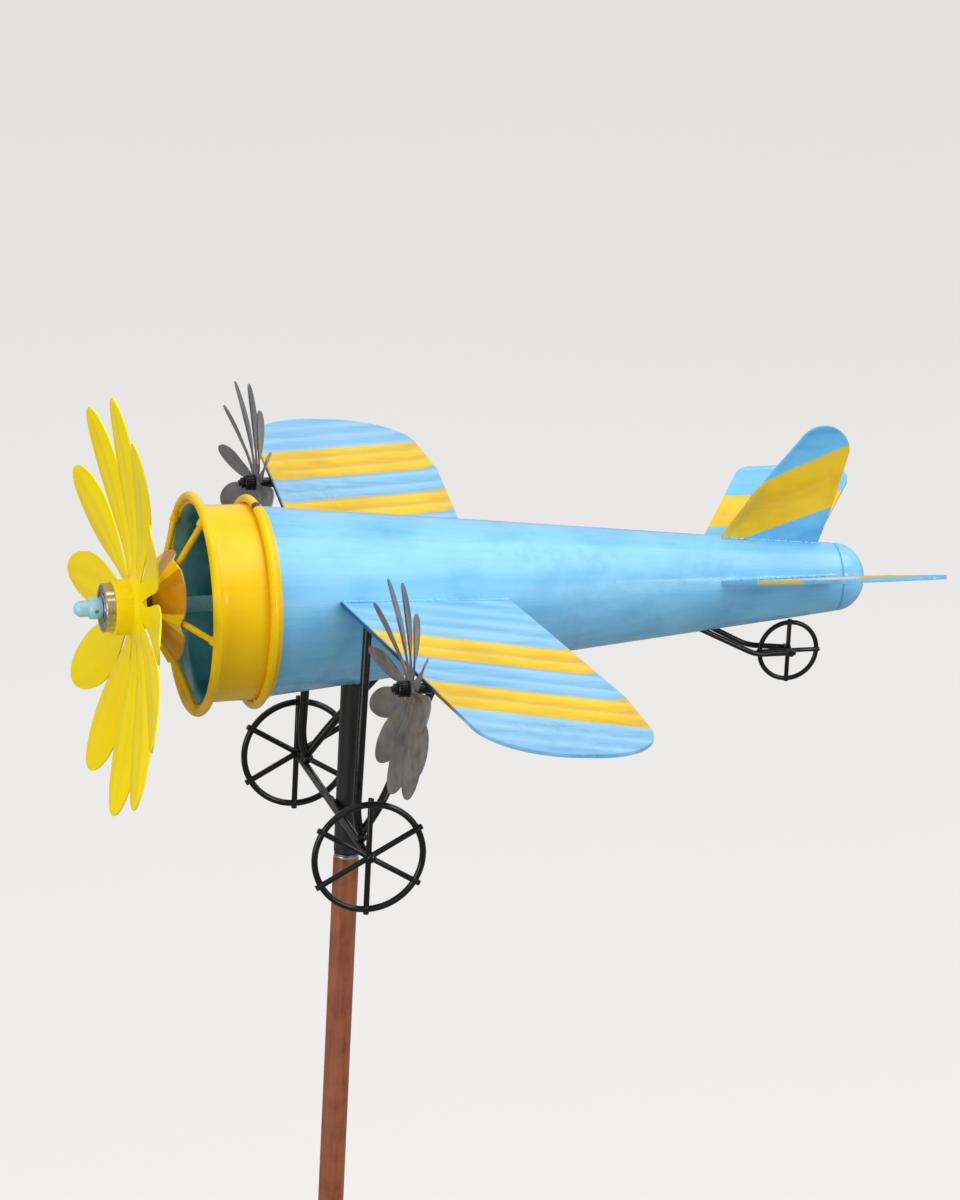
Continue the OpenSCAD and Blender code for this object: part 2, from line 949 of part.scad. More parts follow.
// Wire wheel in the YZ plane at the origin
module wire_wheel(d, wire, rods, rod_d, past) {
    rotate([0, 90, 0])
        rotate_extrude()
            translate([(d - wire) / 2, 0])
                circle(d = wire);
    for (i = [0:rods - 1])
        rotate([180 / rods * i, 0, 0])
            cylinder(h = d + 2 * past, d = rod_d, center = true);
}

module main_wheel(side) {
    color("black")
        difference() {
            translate([side * wheel_x, gear_y, wheel_z])
                wire_wheel(wheel_d, wheel_wire, 3, 0.9 * wheel_wire, wheel_wire / 2);
            gear_axle_bar();
        }
}

module wheel_port() {
    main_wheel(1);
}

module wheel_starboard() {
    main_wheel(-1);
}

module tail_fork() {
    color("black")
        difference() {
            for (side = [-1, 1])
                bent_rod([[side * 12, tail_y - 101, axis_z - skin_r(tail_y - 101) + 11.6],
                    [side * 9, tail_y - 50, tail_wheel_z + 1.4], [side * 5, tail_wheel_y + 3, tail_wheel_z]],
                    tail_wire + 0.5);
            skin_solid(nose_y, tail_y, 0);
            tail_wheel_pin();
        }
}

module tail_wheel_pin() {
    color("black")
        translate([-tail_pin_len / 2, tail_wheel_y, tail_wheel_z])
            rotate([0, 90, 0])
                cylinder(h = tail_pin_len, r = 2);
}

module tail_wheel() {
    color("black")
        difference() {
            translate([0, tail_wheel_y, tail_wheel_z])
                wire_wheel(tail_wheel_d, tail_wire, 2, 2.8, 0.5);
            tail_wheel_pin();
        }
}

// ---- nodes ----

ground_stake();
ground_prongs();
pole_tube();
pivot_spindle();
pivot_screw();
thrust_washer();
mast_tube();
mast_lower_bush();
mast_upper_bush();
mast_pivot_plug();
fuselage_shell();
tail_cap();
front_bulkhead();
cowl_band();
cowl_front_rim();
cowl_rear_rim();
nose_spider();
spider_hub();
nose_cone();
prop_shaft();
shaft_nut();
shaft_spacer();
bearing_spacer();
shaft_collar();
collar_screw();
front_bearing_inner();
rear_bearing_inner();
main_prop_housing();
main_prop_petals();
front_bearing_outer();
rear_bearing_outer();
front_bearing_balls();
rear_bearing_balls();
front_bearing_shield();
wing_port();
wing_starboard();
wing_axle_port();
wing_axle_starboard();
axle_boss_port();
axle_boss_starboard();
axle_retainer_port();
axle_retainer_starboard();
wing_prop_port_sleeve();
wing_prop_port_petals();
wing_prop_starboard_sleeve();
wing_prop_starboard_petals();
vertical_fin();
stabiliser_port();
stabiliser_starboard();
gear_strut_port();
gear_strut_starboard();
gear_axle_bar();
wheel_port();
wheel_starboard();
tail_fork();
tail_wheel_pin();
tail_wheel();
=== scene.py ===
"""Aeroplane wind spinner: enamelled sheet, wire and steel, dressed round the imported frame."""

import logging
import math
import random
from collections.abc import Callable, Sequence
from dataclasses import dataclass, field
from enum import Enum

import bpy
import numpy as np
from mathutils import Matrix, Vector


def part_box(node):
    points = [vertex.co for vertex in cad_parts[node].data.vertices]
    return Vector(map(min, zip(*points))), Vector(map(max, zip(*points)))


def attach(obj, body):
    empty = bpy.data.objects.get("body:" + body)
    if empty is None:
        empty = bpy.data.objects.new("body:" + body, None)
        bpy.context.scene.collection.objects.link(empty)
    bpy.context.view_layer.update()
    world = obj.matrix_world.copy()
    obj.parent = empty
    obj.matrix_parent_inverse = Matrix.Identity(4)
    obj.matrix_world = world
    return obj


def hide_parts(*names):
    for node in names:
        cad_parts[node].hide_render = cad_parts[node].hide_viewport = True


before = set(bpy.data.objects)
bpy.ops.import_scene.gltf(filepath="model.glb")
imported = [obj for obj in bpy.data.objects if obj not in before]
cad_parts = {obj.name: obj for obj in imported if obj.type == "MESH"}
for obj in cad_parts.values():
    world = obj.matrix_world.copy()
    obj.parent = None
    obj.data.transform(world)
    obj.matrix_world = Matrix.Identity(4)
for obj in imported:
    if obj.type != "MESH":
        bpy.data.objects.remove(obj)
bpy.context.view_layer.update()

MM = 0.001
SHAFT_RADIUS = 5 * MM
EVEN = (1.0, 1.0, 1.0)
SIDES = (("port", 1), ("starboard", -1))
LOG = logging.getLogger("wind_spinner")

Socket = bpy.types.NodeSocket
Colour = tuple[float, float, float, float]


def rgb(red: int, green: int, blue: int) -> Colour:
    """Turns a paint-chart colour, 0 to 255 in each channel, into the linear colour that shaders use."""
    chart = (red / 255, green / 255, blue / 255)
    red_l, green_l, blue_l = (c / 12.92 if c <= 0.04045 else ((c + 0.055) / 1.055) ** 2.4 for c in chart)
    return (red_l, green_l, blue_l, 1.0)


class Body(Enum):
    """The five bodies that move on their own."""

    STAND = "stand"
    PLANE = "plane"
    MAIN_PROP = "main_prop"
    PORT_PROP = "wing_prop_port"
    STARBOARD_PROP = "wing_prop_starboard"


class Slot(Enum):
    """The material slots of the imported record."""

    POLE = "pole_brown"
    PLATED = "plated_steel"
    DARK = "dark_steel"
    NYLON = "white_nylon"
    CHARCOAL = "mast_charcoal"
    TEAL = "teal_enamel"
    BLUE = "blue_enamel"
    YELLOW = "yellow_enamel"
    GOLD = "gold_enamel"
    PALE_BLUE = "pale_blue_enamel"
    BEARING = "bearing_steel"
    PETAL_YELLOW = "petal_yellow"
    PETAL_GREY = "petal_grey"
    BLACK = "black_enamel"


# ---- shader nodes ----


class Graph:
    """Short calls that place and join shader nodes in one tree."""

    def __init__(self, tree: bpy.types.NodeTree) -> None:
        """Keeps the tree that the nodes go into."""
        self.tree = tree

    def feed(self, socket: Socket, value: object) -> None:
        """Joins a socket to another, or sets its own value.

        Args:
            socket: the input to feed.
            value: an output socket, a number or a tuple.
        """
        if isinstance(value, bpy.types.NodeSocket):
            self.tree.links.new(value, socket)
        else:
            socket.default_value = value

    def add(self, kind: str, feeds: dict | None = None, **settings: object) -> bpy.types.Node:
        """Places a node.

        Args:
            kind: the node's type name without the ShaderNode prefix.
            feeds: what its inputs get, by name or number.
            settings: its own properties.

        Returns:
            The node.
        """
        made = self.tree.nodes.new("ShaderNode" + kind)
        for key, value in settings.items():
            setattr(made, key, value)
        for key, value in (feeds or {}).items():
            self.feed(made.inputs[key], value)
        return made

    def math(self, operation: str, a: object, b: object = 0.0, clamp: bool = False) -> Socket:
        """Places a Math node and returns its result."""
        return self.add("Math", {0: a, 1: b}, operation=operation, use_clamp=clamp).outputs[0]

    def ramp(self, value: object, low: float, high: float, start: float = 0.0, end: float = 1.0) -> Socket:
        """Maps a value smoothly from low..high to start..end."""
        feeds = {"Value": value, "From Min": low, "From Max": high, "To Min": start, "To Max": end}
        return self.add("MapRange", feeds, interpolation_type="SMOOTHSTEP").outputs["Result"]

    def noise(self, where: object, scale: object, detail: float = 2.0, rough: float = 0.5) -> Socket:
        """Places a Noise texture and returns its value."""
        feeds = {"Vector": where, "Scale": scale, "Detail": detail, "Roughness": rough}
        return self.add("TexNoise", feeds).outputs["Fac"]

    def blend(self, share: object, a: object, b: object, mode: str = "MIX") -> Socket:
        """Mixes two colours and returns the result."""
        made = self.add("Mix", data_type="RGBA", blend_type=mode)
        self.feed(made.inputs[0], share)
        self.feed(made.inputs[6], a)
        self.feed(made.inputs[7], b)
        return made.outputs[2]

    def effect(self, group: bpy.types.NodeTree, **feeds: object) -> bpy.types.Node:
        """Places a node group. An underscore in a feed's name stands for a space."""
        made = self.add("Group", node_tree=group)
        for key, value in feeds.items():
            self.feed(made.inputs[key.replace("_", " ")], value)
        return made


def start_material(name: str) -> tuple[bpy.types.Material, Graph, bpy.types.Node, Socket]:
    """Starts a material.

    Args:
        name: the material's name.

    Returns:
        The material, its Graph, its Principled shader and the object coordinates.
    """
    material = bpy.data.materials.new(name)
    material.use_nodes = True
    g = Graph(material.node_tree)
    where = g.add("TexCoord").outputs["Object"]
    return material, g, material.node_tree.nodes["Principled BSDF"], where


class EffectLibrary:
    """The surface effects that several finishes share, each a node group built once."""

    def __init__(self) -> None:
        """Builds every group."""
        self.streaks = self._streaks()
        self.peel = self._peel()
        self.wear = self._wear()
        self.grime = self._grime()
        self.band = self._band()

    @staticmethod
    def _open(name: str, inputs: Sequence[tuple[str, str]], outputs: Sequence[tuple[str, str]]) -> tuple:
        """Starts a group.

        Args:
            name: the group's name.
            inputs: the name and socket type of each input.
            outputs: the name and socket type of each output.

        Returns:
            The tree, its Graph, the input node's outputs and the output node's inputs.
        """
        tree = bpy.data.node_groups.new(name, "ShaderNodeTree")
        for in_out, rows in (("INPUT", inputs), ("OUTPUT", outputs)):
            for label, kind in rows:
                tree.interface.new_socket(label, in_out=in_out, socket_type="NodeSocket" + kind)
        source = tree.nodes.new("NodeGroupInput")
        sink = tree.nodes.new("NodeGroupOutput")
        return tree, Graph(tree), source.outputs, sink.inputs

    def _streaks(self) -> bpy.types.NodeTree:
        """Brush or rolling marks: noise drawn out along one direction."""
        tree, g, got, out = self._open(
            "brush_streaks",
            [("Vector", "Vector"), ("Stretch", "Vector"), ("Scale", "Float")],
            [("Streak", "Float"), ("Fine", "Float")],
        )
        drawn = g.add("VectorMath", {0: got["Vector"], 1: got["Stretch"]}, operation="MULTIPLY").outputs[0]
        broad = g.noise(drawn, got["Scale"], 3.0, 0.55)
        fine = g.noise(drawn, g.math("MULTIPLY", got["Scale"], 4.3), 2.0, 0.6)
        g.feed(out["Streak"], g.ramp(broad, 0.32, 0.68))
        g.feed(out["Fine"], g.ramp(fine, 0.3, 0.7))
        return tree

    def _peel(self) -> bpy.types.NodeTree:
        """The orange peel and dust nibs of sprayed enamel."""
        tree, g, got, out = self._open(
            "orange_peel", [("Vector", "Vector"), ("Scale", "Float")], [("Height", "Float"), ("Nib", "Float")]
        )
        skin = g.noise(got["Vector"], got["Scale"], 2.0, 0.45)
        cell = g.add(
            "TexVoronoi", {"Vector": got["Vector"], "Scale": g.math("MULTIPLY", got["Scale"], 0.35)}
        ).outputs["Distance"]
        nib = g.ramp(cell, 0.06, 0.0)
        g.feed(out["Height"], g.math("ADD", g.math("MULTIPLY", skin, 0.7), g.math("MULTIPLY", nib, 0.5)))
        g.feed(out["Nib"], nib)
        return tree

    def _wear(self) -> bpy.types.NodeTree:
        """Chipped and rubbed paint, on convex edges and on marked spots."""
        tree, g, got, out = self._open(
            "edge_wear",
            [("Edge", "Float"), ("Chip", "Float"), ("Vector", "Vector"), ("Amount", "Float")],
            [("Mask", "Float")],
        )
        ragged = g.noise(got["Vector"], 420.0, 4.0, 0.65)
        patchy = g.noise(got["Vector"], 38.0, 2.0, 0.5)
        rubbed = g.math("MULTIPLY", got["Edge"], g.math("MULTIPLY", got["Amount"], g.ramp(patchy, 0.45, 0.7)))
        reach = g.math("MAXIMUM", rubbed, got["Chip"])
        gap = g.math("SUBTRACT", g.math("ADD", reach, g.math("MULTIPLY", ragged, 0.6)), 0.8)
        g.feed(out["Mask"], g.ramp(gap, 0.0, 0.06))
        return tree

    def _grime(self) -> bpy.types.NodeTree:
        """Thin handling dirt and dust in soft patches."""
        tree, g, got, out = self._open(
            "grime", [("Vector", "Vector"), ("Scale", "Float")], [("Mask", "Float")]
        )
        broad = g.ramp(g.noise(got["Vector"], got["Scale"], 3.0, 0.6), 0.45, 0.75)
        fine = g.ramp(g.noise(got["Vector"], g.math("MULTIPLY", got["Scale"], 9.0), 3.0, 0.7), 0.35, 0.7)
        g.feed(out["Mask"], g.math("MULTIPLY", broad, fine))
        return tree

    def _band(self) -> bpy.types.NodeTree:
        """One painted band between two values of the band attribute, its border drawn by hand."""
        tree, g, got, out = self._open(
            "painted_band",
            [("Band", "Float"), ("Vector", "Vector"), ("Start", "Float"), ("End", "Float")],
            [("Mask", "Float"), ("Lip", "Float")],
        )
        wander = g.math("MULTIPLY", g.math("SUBTRACT", g.noise(got["Vector"], 26.0, 3.0, 0.45), 0.5), 3.2 * MM)
        value = g.math("ADD", got["Band"], wander)
        inside = g.math("MINIMUM", g.math("SUBTRACT", value, got["Start"]), g.math("SUBTRACT", got["End"], value))
        g.feed(out["Mask"], g.ramp(inside, -0.35 * MM, 0.35 * MM))
        g.feed(out["Lip"], g.ramp(g.math("ABSOLUTE", inside), 0.9 * MM, 0.0))
        return tree


@dataclass(frozen=True)
class Coat:
    """The colours of one coat of paint: its body, its light places (thin paint, and painted highlight on pressed
    crests) and its deep ones (also painted shade in pressed valleys).
    """

    base: Colour
    light: Colour
    deep: Colour


@dataclass(frozen=True)
class Enamel:
    """Brushed or sprayed paint over steel, with optional bands in a second coat."""

    name: str
    coat: Coat
    roughness: float = 0.25
    specular: float = 0.5
    gloss: float = 0.5
    gloss_roughness: float = 0.06
    stretch: tuple[float, float, float] = (1.0, 0.12, 1.0)
    streak_scale: float = 160.0
    streak_share: float = 0.22
    mottle_scale: float = 22.0
    mottle_share: float = 0.5
    peel_scale: float = 520.0
    bump: float = 0.12
    wear: float = 0.35
    worn: Colour = field(default_factory=lambda: rgb(96, 92, 86))
    dirt: Colour = field(default_factory=lambda: rgb(70, 60, 45))
    dirt_share: float = 0.18
    # Painted shade: the deep blue laid along a wing's leading edge, where its underside shows in shade.
    painted_shade: Colour = field(default_factory=lambda: rgb(18, 84, 134))
    band_coat: Coat | None = None
    bands: tuple[tuple[float, float], ...] = ()
    # The ridge fields paint light and shade in step with pressed ridges: a painted highlight on the crests, painted
    # shade in the valleys.
    ridge_start: float = 0.0
    ridge_pitch: float = 0.0
    ridge_light_and_shade: float = 0.8

    def _tint(self, g: Graph, coat: Coat, mottle_and_valley_shade: Socket, streak_and_crest_light: Socket) -> Socket:
        """Colours one coat by its mottle and streaks, which also carry the painted shade of ridge valleys and the
        painted highlight of ridge crests, and returns the colour.
        """
        body = g.blend(g.math("MULTIPLY", g.ramp(mottle_and_valley_shade, 0.62, 0.3), self.mottle_share), coat.base, coat.deep)
        return g.blend(g.math("MULTIPLY", streak_and_crest_light, self.streak_share), body, coat.light)

    def build(self, effects: EffectLibrary) -> bpy.types.Material:
        """Builds the material.

        Args:
            effects: the shared node groups.

        Returns:
            The material.
        """
        material, g, shader, where = start_material(self.name)
        edge = g.add("Attribute", attribute_name="edge").outputs["Fac"]
        chip = g.add("Attribute", attribute_name="chip").outputs["Fac"]
        marks = g.effect(effects.streaks, Vector=where, Stretch=self.stretch, Scale=self.streak_scale)
        peel = g.effect(effects.peel, Vector=where, Scale=self.peel_scale)
        worn = g.effect(effects.wear, Edge=edge, Chip=chip, Vector=where, Amount=self.wear).outputs["Mask"]
        dirty = g.effect(effects.grime, Vector=where, Scale=14.0).outputs["Mask"]
        mottle_and_valley_shade = g.noise(where, self.mottle_scale, 4.0, 0.55)
        streak_and_crest_light = marks.outputs["Streak"]
        # Painted light and shade on pressed ridges: crests pushed towards the coat's light colour, valleys towards
        # its deep one.
        if self.ridge_pitch:
            along = g.add("Attribute", attribute_name="band").outputs["Fac"]
            turns = g.math("MULTIPLY", g.math("SUBTRACT", along, self.ridge_start), 2 * math.pi / self.ridge_pitch)
            wave = g.math("COSINE", turns)
            crest_light = g.math("MULTIPLY", g.ramp(wave, 0.1, 1.0), self.ridge_light_and_shade)
            streak_and_crest_light = g.math("MAXIMUM", g.math("MULTIPLY", streak_and_crest_light, 0.6), crest_light)
            valley = g.math("MULTIPLY", g.ramp(wave, 0.0, -1.0), self.ridge_light_and_shade)
            mottle_and_valley_shade = g.math("SUBTRACT", mottle_and_valley_shade, g.math("MULTIPLY", valley, 0.3))
        colour = self._tint(g, self.coat, mottle_and_valley_shade, streak_and_crest_light)
        height = g.math("ADD", g.math("MULTIPLY", marks.outputs["Fine"], 0.35), peel.outputs["Height"])
        if self.band_coat is not None:
            value = g.add("Attribute", attribute_name="band").outputs["Fac"]
            second = self._tint(g, self.band_coat, mottle_and_valley_shade, streak_and_crest_light)
            for start, end in self.bands:
                found = g.effect(effects.band, Band=value, Vector=where, Start=start, End=end)
                colour = g.blend(found.outputs["Mask"], colour, second)
                height = g.math("ADD", height, g.math("MULTIPLY", found.outputs["Lip"], 0.9))
        # Painted shade: darker towards the deep blue wherever the mesh marks the shaded leading edge.
        colour = g.blend(g.add("Attribute", attribute_name="painted_shade").outputs["Fac"], colour, self.painted_shade)
        colour = g.blend(g.math("MULTIPLY", dirty, self.dirt_share), colour, self.dirt)
        colour = g.blend(worn, colour, self.worn)
        rough = g.ramp(marks.outputs["Streak"], 0.0, 1.0, self.roughness * 0.82, self.roughness * 1.2)
        rough = g.math("ADD", rough, g.math("MULTIPLY", dirty, 0.22))
        rough = g.math("ADD", rough, g.math("MULTIPLY", worn, 0.25), clamp=True)
        height = g.math("SUBTRACT", height, g.math("MULTIPLY", worn, 1.2))
        g.feed(shader.inputs["Base Color"], colour)
        g.feed(shader.inputs["Roughness"], rough)
        g.feed(shader.inputs["Metallic"], g.math("MULTIPLY", worn, 0.75))
        shown = g.math("SUBTRACT", self.gloss, g.math("MULTIPLY", g.math("MAXIMUM", worn, dirty), self.gloss))
        g.feed(shader.inputs["Coat Weight"], shown)
        shader.inputs["Specular IOR Level"].default_value = self.specular
        shader.inputs["Coat Roughness"].default_value = self.gloss_roughness
        shader.inputs["Coat IOR"].default_value = 1.5
        bumped = g.add("Bump", {"Height": height, "Strength": self.bump, "Distance": 0.4 * MM})
        g.feed(shader.inputs["Normal"], bumped.outputs["Normal"])
        return material


@dataclass(frozen=True)
class Steel:
    """Bare or plated steel with turning marks, tarnish and scratches."""

    name: str
    base: Colour
    tarnish: Colour
    roughness: float = 0.22
    stretch: tuple[float, float, float] = (0.2, 6.0, 0.2)
    tarnish_share: float = 0.45
    bump: float = 0.1

    def build(self, effects: EffectLibrary) -> bpy.types.Material:
        """Builds the material.

        Args:
            effects: the shared node groups.

        Returns:
            The material.
        """
        material, g, shader, where = start_material(self.name)
        edge = g.add("Attribute", attribute_name="edge").outputs["Fac"]
        marks = g.effect(effects.streaks, Vector=where, Stretch=self.stretch, Scale=420.0)
        dull = g.effect(effects.grime, Vector=where, Scale=60.0).outputs["Mask"]
        cloud = g.ramp(g.noise(where, 55.0, 4.0, 0.6), 0.35, 0.7)
        colour = g.blend(g.math("MULTIPLY", cloud, self.tarnish_share), self.base, self.tarnish)
        colour = g.blend(g.math("MULTIPLY", dull, 0.5), colour, rgb(58, 50, 44))
        colour = g.blend(g.math("MULTIPLY", edge, 0.35), colour, rgb(225, 224, 220))
        rough = g.ramp(marks.outputs["Fine"], 0.0, 1.0, self.roughness * 0.7, self.roughness * 1.5)
        g.feed(shader.inputs["Base Color"], colour)
        g.feed(shader.inputs["Roughness"], g.math("ADD", rough, g.math("MULTIPLY", dull, 0.3), clamp=True))
        shader.inputs["Metallic"].default_value = 1.0
        bumped = g.add(
            "Bump", {"Height": marks.outputs["Fine"], "Strength": self.bump, "Distance": 0.15 * MM}
        )
        g.feed(shader.inputs["Normal"], bumped.outputs["Normal"])
        return material


SKY_BLUE = Coat(rgb(124, 198, 240), rgb(160, 216, 250), rgb(84, 170, 224))
BRIGHT_YELLOW = Coat(rgb(252, 208, 0), rgb(255, 220, 20), rgb(232, 176, 0))
WING_BANDS = ((102 * MM, 144 * MM), (188 * MM, 238 * MM))


class PaintShop:
    """Every finish on the object, built once and handed out by name."""

    def __init__(self) -> None:
        """Builds the effects and the materials."""
        self.effects = EffectLibrary()
        blacks = Coat(rgb(10, 10, 12), rgb(24, 24, 28), rgb(5, 5, 6))
        recipes: list[Enamel | Steel] = [
            Enamel(
                "blue_enamel",
                SKY_BLUE,
                roughness=0.26,
                specular=0.35,
                gloss=0.35,
                gloss_roughness=0.06,
                wear=0.25,
            ),
            Enamel(
                "wing_enamel",
                Coat(rgb(130, 192, 232), rgb(166, 214, 246), rgb(90, 166, 214)),
                roughness=0.34,
                specular=0.25,
                gloss=0.25,
                gloss_roughness=0.08,
                stretch=(1.0, 0.08, 1.0),
                streak_share=0.62,
                mottle_share=0.62,
                band_coat=Coat(rgb(236, 196, 0), rgb(242, 212, 48), rgb(212, 156, 0)),
                bands=WING_BANDS,
                # Painted highlight on the pressed crests and painted shade in the valleys, in step with the wing's
                # ridges.
                ridge_start=112 * MM,
                ridge_pitch=21.5 * MM,
            ),
            Enamel(
                "fin_enamel",
                Coat(rgb(98, 184, 234), rgb(140, 208, 246), rgb(70, 160, 218)),
                roughness=0.34,
                gloss=0.4,
                gloss_roughness=0.12,
                band_coat=Coat(rgb(232, 192, 0), rgb(245, 208, 30), rgb(206, 160, 0)),
                bands=((0.0, 40 * MM),),
                # Painted shade halfway across the yellow band, over the fin's pressed valley, and painted highlight
                # at the band's borders; the pattern repeats beyond them.
                ridge_pitch=40 * MM,
                ridge_light_and_shade=0.5,
                streak_share=0.4,
                mottle_share=0.7,
            ),
            Enamel(
                "stabiliser_enamel",
                Coat(rgb(110, 190, 236), rgb(150, 212, 248), rgb(74, 160, 216)),
                roughness=0.34,
                gloss=0.4,
                gloss_roughness=0.12,
                band_coat=Coat(rgb(236, 194, 0), rgb(250, 214, 40), rgb(206, 160, 0)),
                bands=((55 * MM, 87 * MM),),
            ),
            Enamel(
                "yellow_enamel",
                BRIGHT_YELLOW,
                specular=0.16,
                gloss=0.2,
                gloss_roughness=0.05,
                streak_share=0.15,
                mottle_share=0.25,
                wear=0.12,
                dirt_share=0.07,
            ),
            Enamel(
                "petal_yellow",
                Coat(rgb(255, 228, 0), rgb(255, 236, 16), rgb(250, 206, 0)),
                roughness=0.34,
                specular=0.12,
                gloss=0.1,
                gloss_roughness=0.06,
                stretch=EVEN,
                streak_scale=40.0,
                mottle_share=0.3,
                wear=0.12,
                dirt_share=0.05,
            ),
            Enamel(
                "gold_enamel",
                Coat(rgb(214, 150, 8), rgb(238, 184, 40), rgb(150, 92, 6)),
                roughness=0.2,
                gloss=0.7,
                # The bright yellow over each pleat is a painted reflection of the yellow spokes in the glossy cone.
                band_coat=Coat(rgb(252, 212, 0), rgb(255, 228, 60), rgb(240, 190, 0)),
                bands=((1.0 * MM, 60 * MM),),
                stretch=EVEN,
                streak_scale=90.0,
            ),
            # Dark brown for the nose tip: painted shade, for the shaft seen in shadow between the petal roots.
            Enamel(
                "painted_shade_tip",
                Coat(rgb(92, 62, 20), rgb(140, 100, 40), rgb(50, 32, 12)),
                roughness=0.3,
                gloss=0.4,
                stretch=EVEN,
            ),
            Enamel(
                "teal_enamel",
                Coat(rgb(34, 132, 168), rgb(124, 204, 236), rgb(10, 82, 108)),
                roughness=0.2,
                gloss=0.9,
                gloss_roughness=0.04,
                # Its strong pale streaks are brush marks and also painted reflections: the bands that the spokes and
                # the bright room between the petals throw on the glossy inside.
                stretch=(0.35, 1.0, 1.0),
                streak_scale=30.0,
                streak_share=0.7,
                mottle_share=0.7,
            ),
            Enamel(
                "pale_blue_enamel",
                Coat(rgb(160, 216, 240), rgb(196, 232, 248), rgb(112, 186, 224)),
                roughness=0.26,
                stretch=EVEN,
                wear=0.5,
            ),
            Enamel(
                "petal_grey",
                Coat(rgb(92, 91, 95), rgb(130, 129, 131), rgb(58, 57, 62)),
                roughness=0.36,
                gloss=0.22,
                gloss_roughness=0.2,
                stretch=EVEN,
                streak_scale=70.0,
                streak_share=0.5,
                mottle_scale=60.0,
                mottle_share=0.8,
                wear=0.75,
                worn=rgb(150, 147, 142),
            ),
            Enamel(
                "black_enamel",
                blacks,
                roughness=0.2,
                specular=0.25,
                gloss=0.3,
                gloss_roughness=0.04,
                wear=0.08,
                bump=0.2,
                dirt_share=0.05,
            ),
            Enamel(
                "mast_charcoal",
                Coat(rgb(24, 25, 28), rgb(48, 50, 52), rgb(12, 13, 15)),
                roughness=0.36,
                specular=0.3,
                gloss=0.3,
                gloss_roughness=0.2,
                stretch=(1.0, 1.0, 0.05),
                streak_share=0.4,
            ),
            Enamel(
                "pole_brown",
                Coat(rgb(146, 80, 47), rgb(178, 106, 68), rgb(92, 44, 22)),
                roughness=0.46,
                gloss=0.12,
                gloss_roughness=0.3,
                stretch=(1.0, 1.0, 0.08),
                streak_scale=210.0,
                streak_share=0.45,
                mottle_scale=70.0,
                mottle_share=0.75,
                bump=0.35,
                dirt_share=0.4,
            ),
            Enamel(
                "white_nylon",
                Coat(rgb(226, 224, 216), rgb(240, 238, 232), rgb(200, 197, 186)),
                roughness=0.45,
                gloss=0.0,
                wear=0.0,
            ),
            Steel("plated_steel", rgb(186, 184, 178), rgb(140, 132, 120)),
            Steel("dark_steel", rgb(84, 82, 80), rgb(48, 44, 42), roughness=0.34),
            Steel("bearing_steel", rgb(196, 190, 182), rgb(160, 142, 118), roughness=0.14, tarnish_share=0.35),
        ]
        self.materials = {recipe.name: recipe.build(self.effects) for recipe in recipes}

    def __getitem__(self, name: str) -> bpy.types.Material:
        """The material of that name."""
        return self.materials[name]


# ---- bench tools ----


def only(obj: bpy.types.Object) -> None:
    """Deselects everything, then selects this object and makes it active."""
    if bpy.context.mode != "OBJECT":
        bpy.ops.object.mode_set(mode="OBJECT")
    bpy.ops.object.select_all(action="DESELECT")
    obj.select_set(True)
    bpy.context.view_layer.objects.active = obj


def adopt(name: str) -> bpy.types.Object:
    """Names the object that the last operator added, and its mesh, and returns it."""
    obj = bpy.context.object
    obj.name = obj.data.name = name
    return obj


def settle(obj: bpy.types.Object) -> None:
    """Moves the object's place, turn and size into its mesh."""
    only(obj)
    bpy.ops.object.transform_apply(location=True, rotation=True, scale=True)


def tidy_mesh(obj: bpy.types.Object, reach: float = 0.004 * MM, outward: bool = True) -> None:
    """Merges doubled points, and turns the faces outwards if asked.

    Args:
        obj: the mesh object.
        reach: points nearer than this are merged.
        outward: whether to recalculate the normals.
    """
    only(obj)
    bpy.ops.object.mode_set(mode="EDIT")
    bpy.ops.mesh.select_all(action="SELECT")
    bpy.ops.mesh.remove_doubles(threshold=reach)
    if outward:
        bpy.ops.mesh.normals_make_consistent(inside=False)
    bpy.ops.object.mode_set(mode="OBJECT")


def apply_all(obj: bpy.types.Object) -> None:
    """Applies the object's modifiers in order."""
    only(obj)
    for modifier in list(obj.modifiers):
        bpy.ops.object.modifier_apply(modifier=modifier.name)


def soften(obj: bpy.types.Object, width: float, segments: int = 2, angle: float = 40.0) -> None:
    """Rounds the sharp edges with an applied Bevel.

    Args:
        obj: the mesh object.
        width: the bevel's width.
        segments: how many strips it has.
        angle: edges sharper than this many degrees are rounded.
    """
    bevel = obj.modifiers.new("soften", "BEVEL")
    bevel.width = width
    bevel.segments = segments
    bevel.limit_method = "ANGLE"
    bevel.angle_limit = math.radians(angle)
    bevel.use_clamp_overlap = True
    apply_all(obj)


def fuse(parts: Sequence[bpy.types.Object], name: str) -> bpy.types.Object:
    """Joins several mesh objects into one piece of that name and returns it."""
    only(parts[0])
    for part in parts:
        part.select_set(True)
    bpy.ops.object.join()
    return adopt(name)


def store(obj: bpy.types.Object, name: str, values: np.ndarray) -> None:
    """Writes one number per point as a mesh attribute that the finishes read."""
    made = obj.data.attributes.new(name, "FLOAT", "POINT")
    made.data.foreach_set("value", values.astype(np.float32))


def points_of(obj: bpy.types.Object) -> np.ndarray:
    """The mesh's points as an array of rows."""
    flat = np.zeros(len(obj.data.vertices) * 3, np.float32)
    obj.data.vertices.foreach_get("co", flat)
    return flat.reshape(-1, 3).astype(float)


def set_points(obj: bpy.types.Object, rows: np.ndarray) -> None:
    """Puts the mesh's points where the array says."""
    obj.data.vertices.foreach_set("co", rows.astype(np.float32).ravel())
    obj.data.update()


